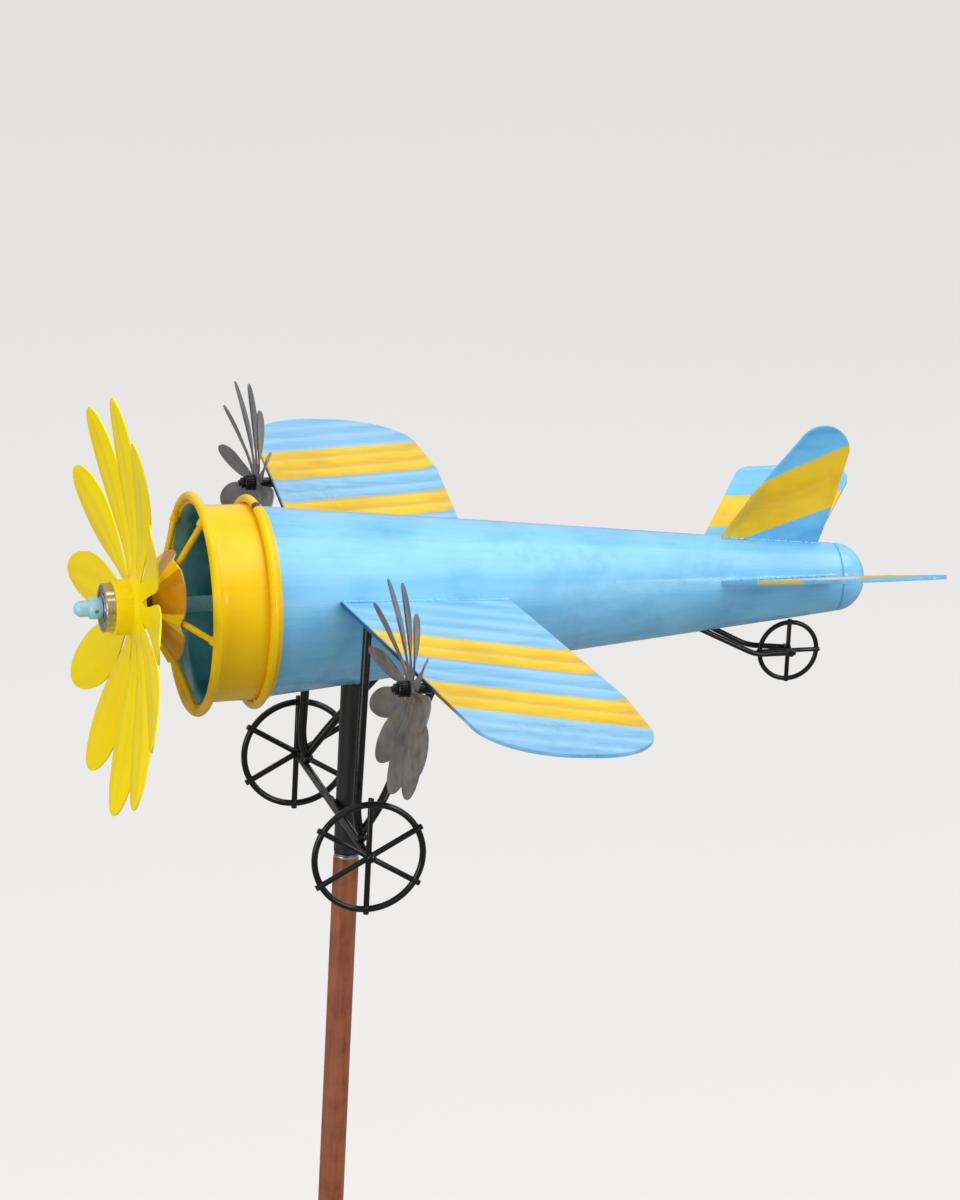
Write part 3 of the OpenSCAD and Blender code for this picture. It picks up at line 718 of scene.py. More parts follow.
def edge_values(obj: bpy.types.Object, low: float = 450.0, high: float = 1500.0) -> np.ndarray:
    """How sharply convex the surface is at each point, for the edge wear.

    Args:
        obj: the mesh object.
        low: the curvature per metre at which an edge begins.
        high: the curvature per metre of a full edge.

    Returns:
        A value from 0 to 1 for each point.
    """
    mesh = obj.data
    where = points_of(obj)
    normals = np.array([v.normal for v in mesh.vertices], float).reshape(-1, 3)
    ends = np.zeros(len(mesh.edges) * 2, np.int32)
    mesh.edges.foreach_get("vertices", ends)
    a, b = ends.reshape(-1, 2).T
    total, count = np.zeros(len(where)), np.zeros(len(where))
    for near, far in ((a, b), (b, a)):
        gap = where[near] - where[far]
        bend = 2 * (normals[near] * gap).sum(1) / np.maximum((gap * gap).sum(1), 1e-12)
        np.add.at(total, near, bend)
        np.add.at(count, near, 1)
    sharp = np.clip((total / np.maximum(count, 1) - low) / (high - low), 0, 1)
    spread, count = sharp.copy(), np.ones(len(where))
    for near, far in ((a, b), (b, a)):
        np.add.at(spread, near, sharp[far])
        np.add.at(count, near, 1)
    return spread / count


def rounded_path(path: Sequence[Vector], bend: float, steps: int = 6) -> list[Vector]:
    """The path with each inner corner replaced by a smooth bend."""
    out = [path[0].copy()]
    for before, corner, after in zip(path, path[1:], path[2:]):
        back, ahead = before - corner, after - corner
        reach = min(bend, back.length * 0.45, ahead.length * 0.45)
        start, end = corner + back.normalized() * reach, corner + ahead.normalized() * reach
        for i in range(steps + 1):
            t = i / steps
            out.append(start * (1 - t) ** 2 + corner * 2 * t * (1 - t) + end * t * t)
    out.append(path[-1].copy())
    return out


def wire(name: str, path: Sequence[Vector], thickness: float, bend: float = 7 * MM) -> bpy.types.Object:
    """A bent round wire with softened ends.

    Args:
        name: the piece's name.
        path: the corner points of its centre line.
        thickness: its diameter.
        bend: how far from a corner the bend starts.

    Returns:
        The mesh object.
    """
    line = bpy.data.curves.new(name, "CURVE")
    line.dimensions = "3D"
    line.bevel_depth = thickness / 2
    line.bevel_resolution = 6
    line.use_fill_caps = True
    spline = line.splines.new("POLY")
    stops = rounded_path(path, bend)
    spline.points.add(len(stops) - 1)
    for slot, stop in zip(spline.points, stops):
        slot.co = (*stop, 1.0)
    obj = bpy.data.objects.new(name, line)
    bpy.context.scene.collection.objects.link(obj)
    only(obj)
    bpy.ops.object.convert(target="MESH")
    made = adopt(name)
    tidy_mesh(made)
    soften(made, thickness * 0.16, 2, 50.0)
    return made


def refine(node: str, rounding: float = 0.25 * MM) -> bpy.types.Object:
    """A clean copy of a machined CAD node: merged points, whole flat faces and softened edges."""
    obj = bpy.data.objects.new(node + "_part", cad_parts[node].data.copy())
    bpy.context.scene.collection.objects.link(obj)
    only(obj)
    bpy.ops.mesh.customdata_custom_splitnormals_clear()
    bpy.ops.object.mode_set(mode="EDIT")
    bpy.ops.mesh.select_all(action="SELECT")
    bpy.ops.mesh.remove_doubles(threshold=0.002 * MM)
    bpy.ops.mesh.dissolve_limited(angle_limit=math.radians(0.5))
    bpy.ops.object.mode_set(mode="OBJECT")
    soften(obj, rounding)
    return obj


@dataclass
class Lathe:
    """Turns rings of points into round sheet and bar, along one axis.

    The seat places the axis: the profile's first number runs along its +Z.
    """

    seat: Matrix
    segments: int = 128

    @classmethod
    def along_y(cls, x: float, z: float, segments: int = 128) -> "Lathe":
        """A lathe whose axis runs along +Y through x and z."""
        return cls(Matrix.Translation((x, 0, z)) @ Matrix.Rotation(-math.pi / 2, 4, "X"), segments)

    @classmethod
    def along_z(cls, segments: int = 96) -> "Lathe":
        """A lathe whose axis is the pole's."""
        return cls(Matrix.Identity(4), segments)

    def turn(self, name: str, profile: Sequence[tuple[float, float]]) -> bpy.types.Object:
        """Turns a profile, closed if it ends where it starts.

        Args:
            name: the piece's name.
            profile: places along the axis and radii, in order.

        Returns:
            The mesh object.
        """
        place, radius = profile[0]
        bpy.ops.object.select_all(action="DESELECT")
        bpy.ops.mesh.primitive_circle_add(
            vertices=self.segments, radius=max(radius, 1e-6), location=(0, 0, place), fill_type="NOTHING"
        )
        obj = adopt(name)
        settle(obj)
        bpy.ops.object.mode_set(mode="EDIT")
        bpy.ops.mesh.select_all(action="SELECT")
        for far, wide in profile[1:]:
            wide = max(wide, 1e-6)
            bpy.ops.mesh.extrude_region()
            bpy.ops.transform.translate(value=(0, 0, far - place))
            share = wide / max(radius, 1e-6)
            bpy.ops.transform.resize(value=(share, share, 1), center_override=(0, 0, far))
            place, radius = far, wide
        bpy.ops.object.mode_set(mode="OBJECT")
        tidy_mesh(obj, 0.003 * MM)
        obj.matrix_world = self.seat
        settle(obj)
        return obj


def ring(name: str, centre: Vector, radius: float, thickness: float, axis: str = "Y") -> bpy.types.Object:
    """A rolled and welded wire ring about an axis, very slightly out of true.

    Args:
        name: the piece's name.
        centre: the ring's centre.
        radius: the radius of the wire's centre line.
        thickness: the wire's diameter.
        axis: the axis that it goes round, X or Y.

    Returns:
        The mesh object.
    """
    bpy.ops.object.select_all(action="DESELECT")
    turn = (math.pi / 2, 0, 0) if axis == "Y" else (0, math.pi / 2, 0)
    bpy.ops.mesh.primitive_torus_add(
        location=centre,
        rotation=turn,
        major_radius=radius,
        minor_radius=thickness / 2,
        major_segments=144,
        minor_segments=18,
    )
    obj = adopt(name)
    settle(obj)
    rows = points_of(obj)
    across = 0 if axis == "X" else 1
    spin = np.arctan2(rows[:, 2] - centre.z, rows[:, 1 - across] - centre[1 - across])
    rows[:, across] += 0.15 * MM * np.sin(2 * spin + radius * 900)
    set_points(obj, rows)
    return obj


@dataclass
class Welder:
    """Lays weld metal: beads that overlap, fused into one lumpy run."""

    voxel: float = 0.45 * MM

    def run(self, name: str, path: Sequence[Vector], size: float, pitch: float, seed: int) -> bpy.types.Object:
        """Lays beads along a path and fuses them.

        Args:
            name: the piece's name.
            path: the points that the run follows.
            size: the bead's radius.
            pitch: the distance between beads.
            seed: the number that makes its lumps repeatable.

        Returns:
            The mesh object.
        """
        draw = random.Random(seed)
        beads: list[bpy.types.Object] = []
        for start, end in zip(path, path[1:]):
            count = max(1, round((end - start).length / pitch))
            for i in range(count):
                beads.append(self._bead(start.lerp(end, (i + draw.uniform(-0.2, 0.2)) / count), size, draw))
        beads.append(self._bead(path[-1], size, draw))
        return self._cast(beads, name)

    def blob(self, name: str, centres: Sequence[Vector], size: float, seed: int) -> bpy.types.Object:
        """Fuses a few beads at the given centres."""
        draw = random.Random(seed)
        return self._cast([self._bead(c, size, draw) for c in centres], name)

    @staticmethod
    def _bead(centre: Vector, size: float, draw: random.Random) -> bpy.types.Object:
        """One bead, a little out of round."""
        bpy.ops.object.select_all(action="DESELECT")
        bpy.ops.mesh.primitive_ico_sphere_add(subdivisions=2, radius=size, location=centre)
        obj = bpy.context.object
        obj.scale = [draw.uniform(0.8, 1.15) for _ in range(3)]
        obj.rotation_euler = [draw.uniform(0, 3) for _ in range(3)]
        return obj

    def _cast(self, beads: Sequence[bpy.types.Object], name: str) -> bpy.types.Object:
        """Fuses beads into one smooth skin."""
        obj = fuse(beads, name)
        settle(obj)
        skin = obj.modifiers.new("skin", "REMESH")
        skin.mode = "VOXEL"
        skin.voxel_size = self.voxel
        ease = obj.modifiers.new("ease", "SMOOTH")
        ease.iterations = 3
        apply_all(obj)
        return obj


@dataclass
class Bench:
    """Ends every piece the same way: finish, wear, smooth shading and body; the slot names the finish unless another
    is given.
    """

    shop: PaintShop
    welder: Welder = field(default_factory=Welder)
    count: int = 0

    def deliver(
        self,
        obj: bpy.types.Object,
        body: Body,
        slot: Slot,
        finish: str = "",
        stands_for: Sequence[str] = (),
        smooth: float = 35.0,
    ) -> bpy.types.Object:
        """Finishes a piece.

        Args:
            obj: the mesh object, in place.
            body: the body that it moves with.
            slot: the record's material slot.
            finish: the material's name, if it isn't the slot's own.
            stands_for: the CAD nodes that it replaces.
            smooth: edges flatter than this many degrees are shaded smooth.

        Returns:
            The same object.
        """
        only(obj)
        obj.data.materials.clear()
        obj.data.materials.append(self.shop[finish or slot.value])
        bpy.ops.object.shade_smooth_by_angle(angle=math.radians(smooth))
        store(obj, "edge", edge_values(obj))
        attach(obj, body.value)
        if stands_for:
            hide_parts(*stands_for)
        self.count += 1
        LOG.info("%s: %d faces on %s", obj.name, len(obj.data.polygons), body.value)
        return obj

    def machined(self, nodes: Sequence[str], body: Body, slot: Slot, rounding: float = 0.25 * MM) -> None:
        """Replaces machined CAD nodes by clean copies of themselves."""
        for node in nodes:
            self.deliver(refine(node, rounding), body, slot, stands_for=[node])

    def keep(self, nodes: Sequence[str], slot: Slot) -> None:
        """Gives CAD nodes that stay as they are their finish."""
        for node in nodes:
            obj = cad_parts[node]
            obj.data.materials.clear()
            obj.data.materials.append(self.shop[slot.value])


# ---- the stand ----


@dataclass
class Stand:
    """The brown pole with its ground fork, and the spindle that carries the plane."""

    bench: Bench
    pole_chamfer: float = 0.6 * MM
    wall: float = 1.6 * MM

    def build(self) -> None:
        """Builds the pole, the ground fork and the spindle's parts."""
        low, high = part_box("pole_tube")
        radius, bore, cut = high.y, high.y - self.wall, self.pole_chamfer
        height = high.z - low.z
        profile = [(low.z, bore), (low.z, radius - cut), (low.z + cut, radius)]
        profile += [(low.z + height * i / 24, radius) for i in range(1, 24)]
        profile += [(high.z - cut, radius), (high.z, radius - cut), (high.z, bore), (low.z, bore)]
        pole = Lathe.along_z().turn("pole", profile)
        self.bench.deliver(pole, Body.STAND, Slot.POLE, stands_for=["pole_tube"])
        self.bench.machined(["ground_stake", "ground_prongs"], Body.STAND, Slot.POLE, 0.5 * MM)
        self.bench.machined(["pivot_spindle"], Body.STAND, Slot.PLATED)
        self.bench.machined(["pivot_screw"], Body.STAND, Slot.DARK, 0.15 * MM)
        self.bench.machined(["thrust_washer"], Body.STAND, Slot.DARK, 0.2 * MM)
        self._foot_weld(low.z, radius)

    def _foot_weld(self, foot: float, radius: float) -> None:
        """Lays the weld that joins the prongs' crossbar to the stake."""
        path = [
            Vector((radius * math.cos(t), radius * math.sin(t), foot - 6 * MM))
            for t in (2 * math.pi * i / 24 for i in range(25))
        ]
        weld = self.bench.welder.run("foot_weld", path, 2.2 * MM, 2.4 * MM, 5)
        self.bench.deliver(weld, Body.STAND, Slot.POLE)


# ---- fuselage, cowl and nose ----


@dataclass
class Fuselage:
    """The rolled cone, its tail cap, and the mast that it stands on."""

    bench: Bench
    sheet: float = 1.2 * MM
    front_radius: float = 0.0
    tail_radius: float = 0.0
    front: float = 0.0
    back: float = 0.0
    axis: float = 0.0

    def __post_init__(self) -> None:
        """Reads the cone's sizes from the frame."""
        low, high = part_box("fuselage_shell")
        self.front, self.back = low.y, high.y
        self.front_radius = (high.x - low.x) / 2
        self.axis = high.z - self.front_radius
        self.tail_radius = (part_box("tail_cap")[1].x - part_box("tail_cap")[0].x) / 2

    def skin(self, y: float) -> float:
        """The outer radius of the cone at y."""
        share = (y - self.front) / (self.back - self.front)
        return self.front_radius + (self.tail_radius - self.front_radius) * share

    def build(self) -> None:
        """Builds the shell, the tail cap, the bulkhead, the seam and the mast."""
        self._shell()
        self._tail_cap()
        self._bulkhead()
        self._mast()

    def _shell(self) -> None:
        """The rolled cone, with the faint waves of hand rolling and a rounded tail edge."""
        stops = [self.front + (self.back - 1.2 * MM - self.front) * i / 60 for i in range(61)]
        profile = [(y, self.skin(y)) for y in stops]
        profile += [(self.back - 0.4 * MM, self.tail_radius - 0.1 * MM), (self.back, self.tail_radius - 0.6 * MM)]
        halfway = 0.1
        profile += [(y, self.skin(y) - self.sheet) for y in (self.back, halfway, self.front)]
        profile.append(profile[0])
        obj = Lathe.along_y(0, self.axis, 180).turn("fuselage", profile)
        rows = points_of(obj)
        spin = np.arctan2(rows[:, 2] - self.axis, rows[:, 0])
        reach = np.clip((rows[:, 1] - self.front) / 0.05, 0, 1) * np.clip((self.back - rows[:, 1]) / 0.03, 0, 1)
        wave = np.sin(3 * spin + 22 * rows[:, 1]) + 0.6 * np.sin(5 * spin - 41 * rows[:, 1])
        out = 1 + 0.0022 * reach * wave
        rows[:, 0] *= out
        rows[:, 2] = self.axis + (rows[:, 2] - self.axis) * out
        set_points(obj, rows)
        self.bench.deliver(obj, Body.PLANE, Slot.BLUE, stands_for=["fuselage_shell"])

    def _tail_cap(self) -> None:
        """The pressed dome, set a little way off the cone so that its seam stays open."""
        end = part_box("tail_cap")[1].y
        start, rim = self.back + 0.7 * MM, self.tail_radius - 0.25 * MM
        depth = end - start
        profile = [(self.back - 6 * MM, rim - 2.2 * MM), (self.back - 1 * MM, rim - 1.2 * MM)]
        profile += [(start, rim - 0.5 * MM), (start + 0.3 * MM, rim)]
        for i in range(1, 19):
            t = math.pi / 2 * i / 18
            profile.append((start + 0.3 * MM + (depth - 0.3 * MM) * math.sin(t), rim * math.cos(t)))
        obj = Lathe.along_y(0, self.axis, 120).turn("tail_dome", profile)
        self.bench.deliver(obj, Body.PLANE, Slot.BLUE, stands_for=["tail_cap"])

    def _bulkhead(self) -> None:
        """The pressed disc inside the cowl, dished with one swage ring."""
        low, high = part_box("front_bulkhead")
        radius = high.x
        profile = [(high.y, radius), (low.y, radius)]
        for i in range(1, 15):
            r = radius * (1 - i / 15)
            swage = 1.1 * MM * math.exp(-(((r - radius * 0.62) / (3.2 * MM)) ** 2))
            profile.append((low.y + 0.2 * MM - swage, max(r, SHAFT_RADIUS)))
        profile += [(high.y, SHAFT_RADIUS), (high.y, radius)]
        obj = Lathe.along_y(0, self.axis, 120).turn("nose_bulkhead", profile)
        self.bench.deliver(obj, Body.PLANE, Slot.TEAL, stands_for=["front_bulkhead"])

    def _mast(self) -> None:
        """The tube under the fuselage, with its weld, and the bushes inside it."""
        low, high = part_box("mast_tube")
        radius, cut = high.y, 0.7 * MM
        bore = radius - 1.6 * MM
        tall = high.z - low.z
        profile = [(low.z, bore), (low.z, radius - cut), (low.z + cut, radius)]
        profile += [(low.z + tall * i / 12, radius) for i in range(1, 12)]
        profile += [(high.z, radius), (high.z, bore), (low.z, bore)]
        mast = Lathe.along_z().turn("mast", profile)
        self.bench.deliver(mast, Body.PLANE, Slot.CHARCOAL, stands_for=["mast_tube"])
        path = []
        for i in range(25):
            t = 2 * math.pi * i / 24
            x, y = (radius + 0.4 * MM) * math.cos(t), (radius + 0.4 * MM) * math.sin(t)
            path.append(Vector((x, y, self.axis - math.sqrt(self.skin(y) ** 2 - x * x) - 0.2 * MM)))
        weld = self.bench.welder.run("mast_weld", path, 1.7 * MM, 1.9 * MM, 11)
        self.bench.deliver(weld, Body.PLANE, Slot.BLUE)
        self.bench.machined(["mast_lower_bush", "mast_upper_bush"], Body.PLANE, Slot.NYLON, 0.2 * MM)
        self.bench.machined(["mast_pivot_plug"], Body.PLANE, Slot.DARK)


@dataclass
class Cowl:
    """The yellow ring at the nose: band, two wire rims, five spokes, hub and fluted cone."""

    bench: Bench
    fuselage: Fuselage
    spokes: int = 5
    first_spoke: float = 20.0
    spoke_thickness: float = 4 * MM

    def build(self) -> None:
        """Builds the band and rims, then the spider and its cone."""
        self._band()
        self._rims()
        self._spider()
        self._cone()

    def _band(self) -> None:
        """The flared band, yellow outside and in."""
        low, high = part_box("cowl_band")
        wall, flare, flare_len = 1.2 * MM, 2.7 * MM, 9 * MM
        radius = high.x - flare
        profile: list[tuple[float, float]] = []
        for i in range(9):
            t = i / 8
            profile.append((low.y + flare_len * t, radius + flare * (1 - t) ** 1.6))
        for i in range(1, 13):
            y = low.y + flare_len + (high.y - low.y - flare_len) * i / 12
            dip = 0.35 * MM * math.sin(math.pi * i / 12)
            profile.append((y, radius - dip))
        outer = list(profile)
        profile.append((high.y, radius - wall))
        for i in range(len(outer) - 2, -1, -1):
            profile.append((outer[i][0], outer[i][1] - wall))
        profile.append(profile[0])
        obj = Lathe.along_y(0, self.fuselage.axis, 180).turn("cowl_ring", profile)
        self.bench.deliver(obj, Body.PLANE, Slot.YELLOW, stands_for=["cowl_band"])
        lining = [(y + 0.4 * MM, r - wall - 0.25 * MM) for y, r in outer]
        lining += [(y, r - 0.5 * MM) for y, r in reversed(lining)]
        lining.append(lining[0])
        inner = Lathe.along_y(0, self.fuselage.axis, 150).turn("cowl_lining", lining)
        self.bench.deliver(inner, Body.PLANE, Slot.TEAL)

    def _rims(self) -> None:
        """The two rolled wires, each with its welded joint."""
        for node, name, seam in (("cowl_front_rim", "front_rim", 75.0), ("cowl_rear_rim", "rear_rim", 84.0)):
            low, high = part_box(node)
            thick = high.y - low.y
            radius = high.x - thick / 2
            centre = Vector((0, (low.y + high.y) / 2, self.fuselage.axis))
            obj = ring(name, centre, radius, thick)
            turn = math.radians(seam)
            spot = centre + Vector((math.cos(turn), 0, math.sin(turn))) * (radius + 0.8 * MM)
            joint = self.bench.welder.blob(
                name + "_joint", [spot, spot + Vector((1.6 * MM, 0, -0.6 * MM))], thick * 0.44, 3
            )
            piece = fuse([obj, joint], name)
            gap = np.linalg.norm(points_of(piece) - np.array(spot), axis=1)
            store(piece, "chip", np.clip(1.25 - gap / (5 * MM), 0, 1) * (1.0 if name == "rear_rim" else 0.0))
            self.bench.deliver(piece, Body.PLANE, Slot.YELLOW, stands_for=[node])

    def spoke_turn(self, i: int) -> Matrix:
        """The turn about the fuselage's line that takes the top to spoke i."""
        return Matrix.Rotation(math.radians(self.first_spoke + 360 / self.spokes * i), 4, "Y")

    def _spider(self) -> None:
        """The spokes with their welds, and the hub."""
        hub_low, hub_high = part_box("spider_hub")
        rim_low, rim_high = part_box("cowl_front_rim")
        mid = (hub_low.y + hub_high.y) / 2
        rim_y = (rim_low.y + rim_high.y) / 2
        rim_radius = rim_high.x - (rim_high.y - rim_low.y) / 2
        lift = Vector((0, 0, self.fuselage.axis))
        parts: list[bpy.types.Object] = []
        for i in range(self.spokes):
            turn = self.spoke_turn(i)
            start = turn @ Vector((0, mid, 9 * MM)) + lift
            end = turn @ Vector((0, rim_y - 0.8 * MM, rim_radius - 1.5 * MM)) + lift
            rod = wire(f"spoke_{i + 1}", [start, end], self.spoke_thickness)
            near = start.lerp(end, 0.955)
            weld = self.bench.welder.blob(f"spoke_weld_{i + 1}", [near, start.lerp(end, 0.985)], 3.1 * MM, 20 + i)
            parts += [rod, weld]
        self.bench.deliver(fuse(parts, "spokes"), Body.PLANE, Slot.YELLOW, stands_for=["nose_spider"])
        radius, cut = hub_high.x, 0.8 * MM
        profile = [(hub_low.y, SHAFT_RADIUS), (hub_low.y, radius - cut), (hub_low.y + cut, radius)]
        profile += [(hub_high.y - cut, radius), (hub_high.y, radius - cut), (hub_high.y, SHAFT_RADIUS)]
        profile.append(profile[0])
        hub = Lathe.along_y(0, self.fuselage.axis, 72).turn("spoke_hub", profile)
        self.bench.deliver(hub, Body.PLANE, Slot.GOLD, stands_for=["spider_hub"])

    def _cone(self) -> None:
        """The shallow cone with a pressed pleat in line with each spoke, the bright yellow on each pleat a painted
        reflection of the spokes, and its dark tip, whose dark brown is painted shade.
        """
        low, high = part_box("nose_cone")
        wall, outer, inner = 1 * MM, high.x, 11 * MM
        deep = high.y - low.y - wall
        steps = 16
        front = [(low.y + deep * i / steps, inner + (outer - inner) * i / steps) for i in range(steps + 1)]
        profile = front + [(y + wall, r) for y, r in reversed(front)]
        profile.append(profile[0])
        obj = Lathe.along_y(0, self.fuselage.axis, 240).turn("nose_cone_sheet", profile)
        rows = points_of(obj)
        x, z = rows[:, 0], rows[:, 2] - self.fuselage.axis
        radius = np.hypot(x, z)
        step = 360 / self.spokes
        spin = np.degrees(np.arctan2(x, z)) - self.first_spoke
        off = np.abs((spin + step / 2) % step - step / 2)
        reach = np.clip((radius - inner) / (outer - inner), 0, 1)
        pleat = np.clip(1 - off / (3.5 + 9.5 * reach), 0, 1) * np.minimum(1, reach * 1.6)
        sag = np.cos(np.radians(off * 180 / (step / 2))) * 0.5 - 0.5
        rows[:, 1] += (-3.0 * MM) * pleat - sag * 1.6 * MM * reach
        shrink = 1 + 0.035 * sag * reach
        rows[:, 0] *= shrink
        rows[:, 2] = self.fuselage.axis + z * shrink
        set_points(obj, rows)
        tidy_mesh(obj)
        # The band marks the pleats, where the bright yellow painted reflection of the spokes goes.
        store(obj, "band", pleat * 10 * MM)
        self.bench.deliver(obj, Body.PLANE, Slot.GOLD, stands_for=["nose_cone"], smooth=28.0)
        # The tip's dark brown finish is painted shade for the shadowed gap at the cone's apex.
        start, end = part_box("shaft_spacer")
        tip = [(end.y + 1 * MM, SHAFT_RADIUS), (end.y + 0.5 * MM, 10.4 * MM), (end.y - 1.2 * MM, 9.6 * MM)]
        tip += [(start.y + 1.6 * MM, 6.6 * MM), (start.y + 0.2 * MM, 5.9 * MM)]
        tip += [(start.y + 0.2 * MM, SHAFT_RADIUS), tip[0]]
        piece = Lathe.along_y(0, self.fuselage.axis, 72).turn("nose_tip", tip)
        self.bench.deliver(piece, Body.PLANE, Slot.GOLD, "painted_shade_tip", ["shaft_spacer"])


# ---- propellers ----


@dataclass(frozen=True)
class PetalShape:
    """One petal: a narrow root that widens, twists to its pitch, cups and leans back."""

    root_radius: float
    tip_radius: float
    root_width: float
    width: float
    dish: float
    pitch: float = math.radians(1)
    thickness: float = 0.95 * MM
    belly: float = 0.62
    rows: int = 34
    columns: int = 14

    def point(self, s: float, v: float) -> Vector:
        """The middle of the sheet at s along and v across, with the radius along +Z."""

        def swell(x: float) -> float:
            return x * x * (3 - 2 * x)

        if s < self.belly:
            wide = self.root_width + (self.width - self.root_width) * swell(s / self.belly)
        else:
            wide = max(1.6 * MM, self.width * math.sqrt(max(0.0, 1 - ((s - self.belly) / (1 - self.belly)) ** 2)))
        twist = self.pitch * swell(min(1.0, s / 0.35))
        across = wide * v
        cup = -0.05 * wide * (1 - 4 * v * v)
        cup += 0.012 * wide * math.cos(5 * math.pi * v) * swell(min(1.0, s / 0.3))
        x = across * math.cos(twist) + cup * math.sin(twist)
        y = -across * math.sin(twist) + cup * math.cos(twist) - self.dish * s * s
        return Vector((x, y, self.root_radius + (self.tip_radius - self.root_radius) * s))

    def build(self, name: str) -> bpy.types.Object:
        """Shapes a grid into the petal, thickens it and rounds its rim."""
        bpy.ops.object.select_all(action="DESELECT")
        bpy.ops.mesh.primitive_grid_add(x_subdivisions=self.columns, y_subdivisions=self.rows, size=1)
        obj = adopt(name)
        for vertex in obj.data.vertices:
            share = math.sin(math.pi / 2 * min(1.0, vertex.co.y + 0.5))
            vertex.co = self.point(share, vertex.co.x)
        wall = obj.modifiers.new("wall", "SOLIDIFY")
        wall.thickness = self.thickness
        wall.offset = 0
        apply_all(obj)
        tidy_mesh(obj, 0.001 * MM)
        soften(obj, self.thickness * 0.36, 2, 50.0)
        return obj


@dataclass
class PetalWheel:
    """Twelve petals, copied round a hub line that runs along Y."""

    bench: Bench
    shape: PetalShape
    centre: Vector
    body: Body
    slot: Slot
    name: str
    seed: int
    turn: float = 0.0
    bend: float = 0.0
    count: int = 12

    def build(self) -> None:
        """Makes one petal and copies it, each copy bent by hand a little differently."""
        draw = random.Random(self.seed)
        pattern = self.shape.build(self.name + "_pattern")
        rest = points_of(pattern)
        share = np.clip(
            (rest[:, 2] - self.shape.root_radius) / (self.shape.tip_radius - self.shape.root_radius), 0, 1
        )
        for i in range(self.count):
            mesh = pattern.data.copy()
            obj = bpy.data.objects.new(f"{self.name}_{i + 1:02d}", mesh)
            bpy.context.scene.collection.objects.link(obj)
            rows = rest.copy()
            lean = draw.uniform(-1, 1) * self.shape.dish * 0.09
            angle = 2 * math.pi * i / self.count + self.turn
            turn = draw.uniform(-1, 1) * math.radians(2.2) * share
            turn += self.bend * (math.cos(angle) - 0.11) * np.minimum(1.0, share / 0.3)
            side = draw.uniform(-1, 1) * self.shape.width * 0.03
            x, y = rows[:, 0].copy(), rows[:, 1].copy()
            rows[:, 0] = x * np.cos(turn) - y * np.sin(turn) + side * share**2
            rows[:, 1] = x * np.sin(turn) + y * np.cos(turn) + lean * share**2
            set_points(obj, rows)
            place = Matrix.Translation(self.centre) @ Matrix.Rotation(angle, 4, "Y")
            mesh.transform(place)
            self.bench.deliver(obj, self.body, self.slot)
        bpy.data.objects.remove(pattern)


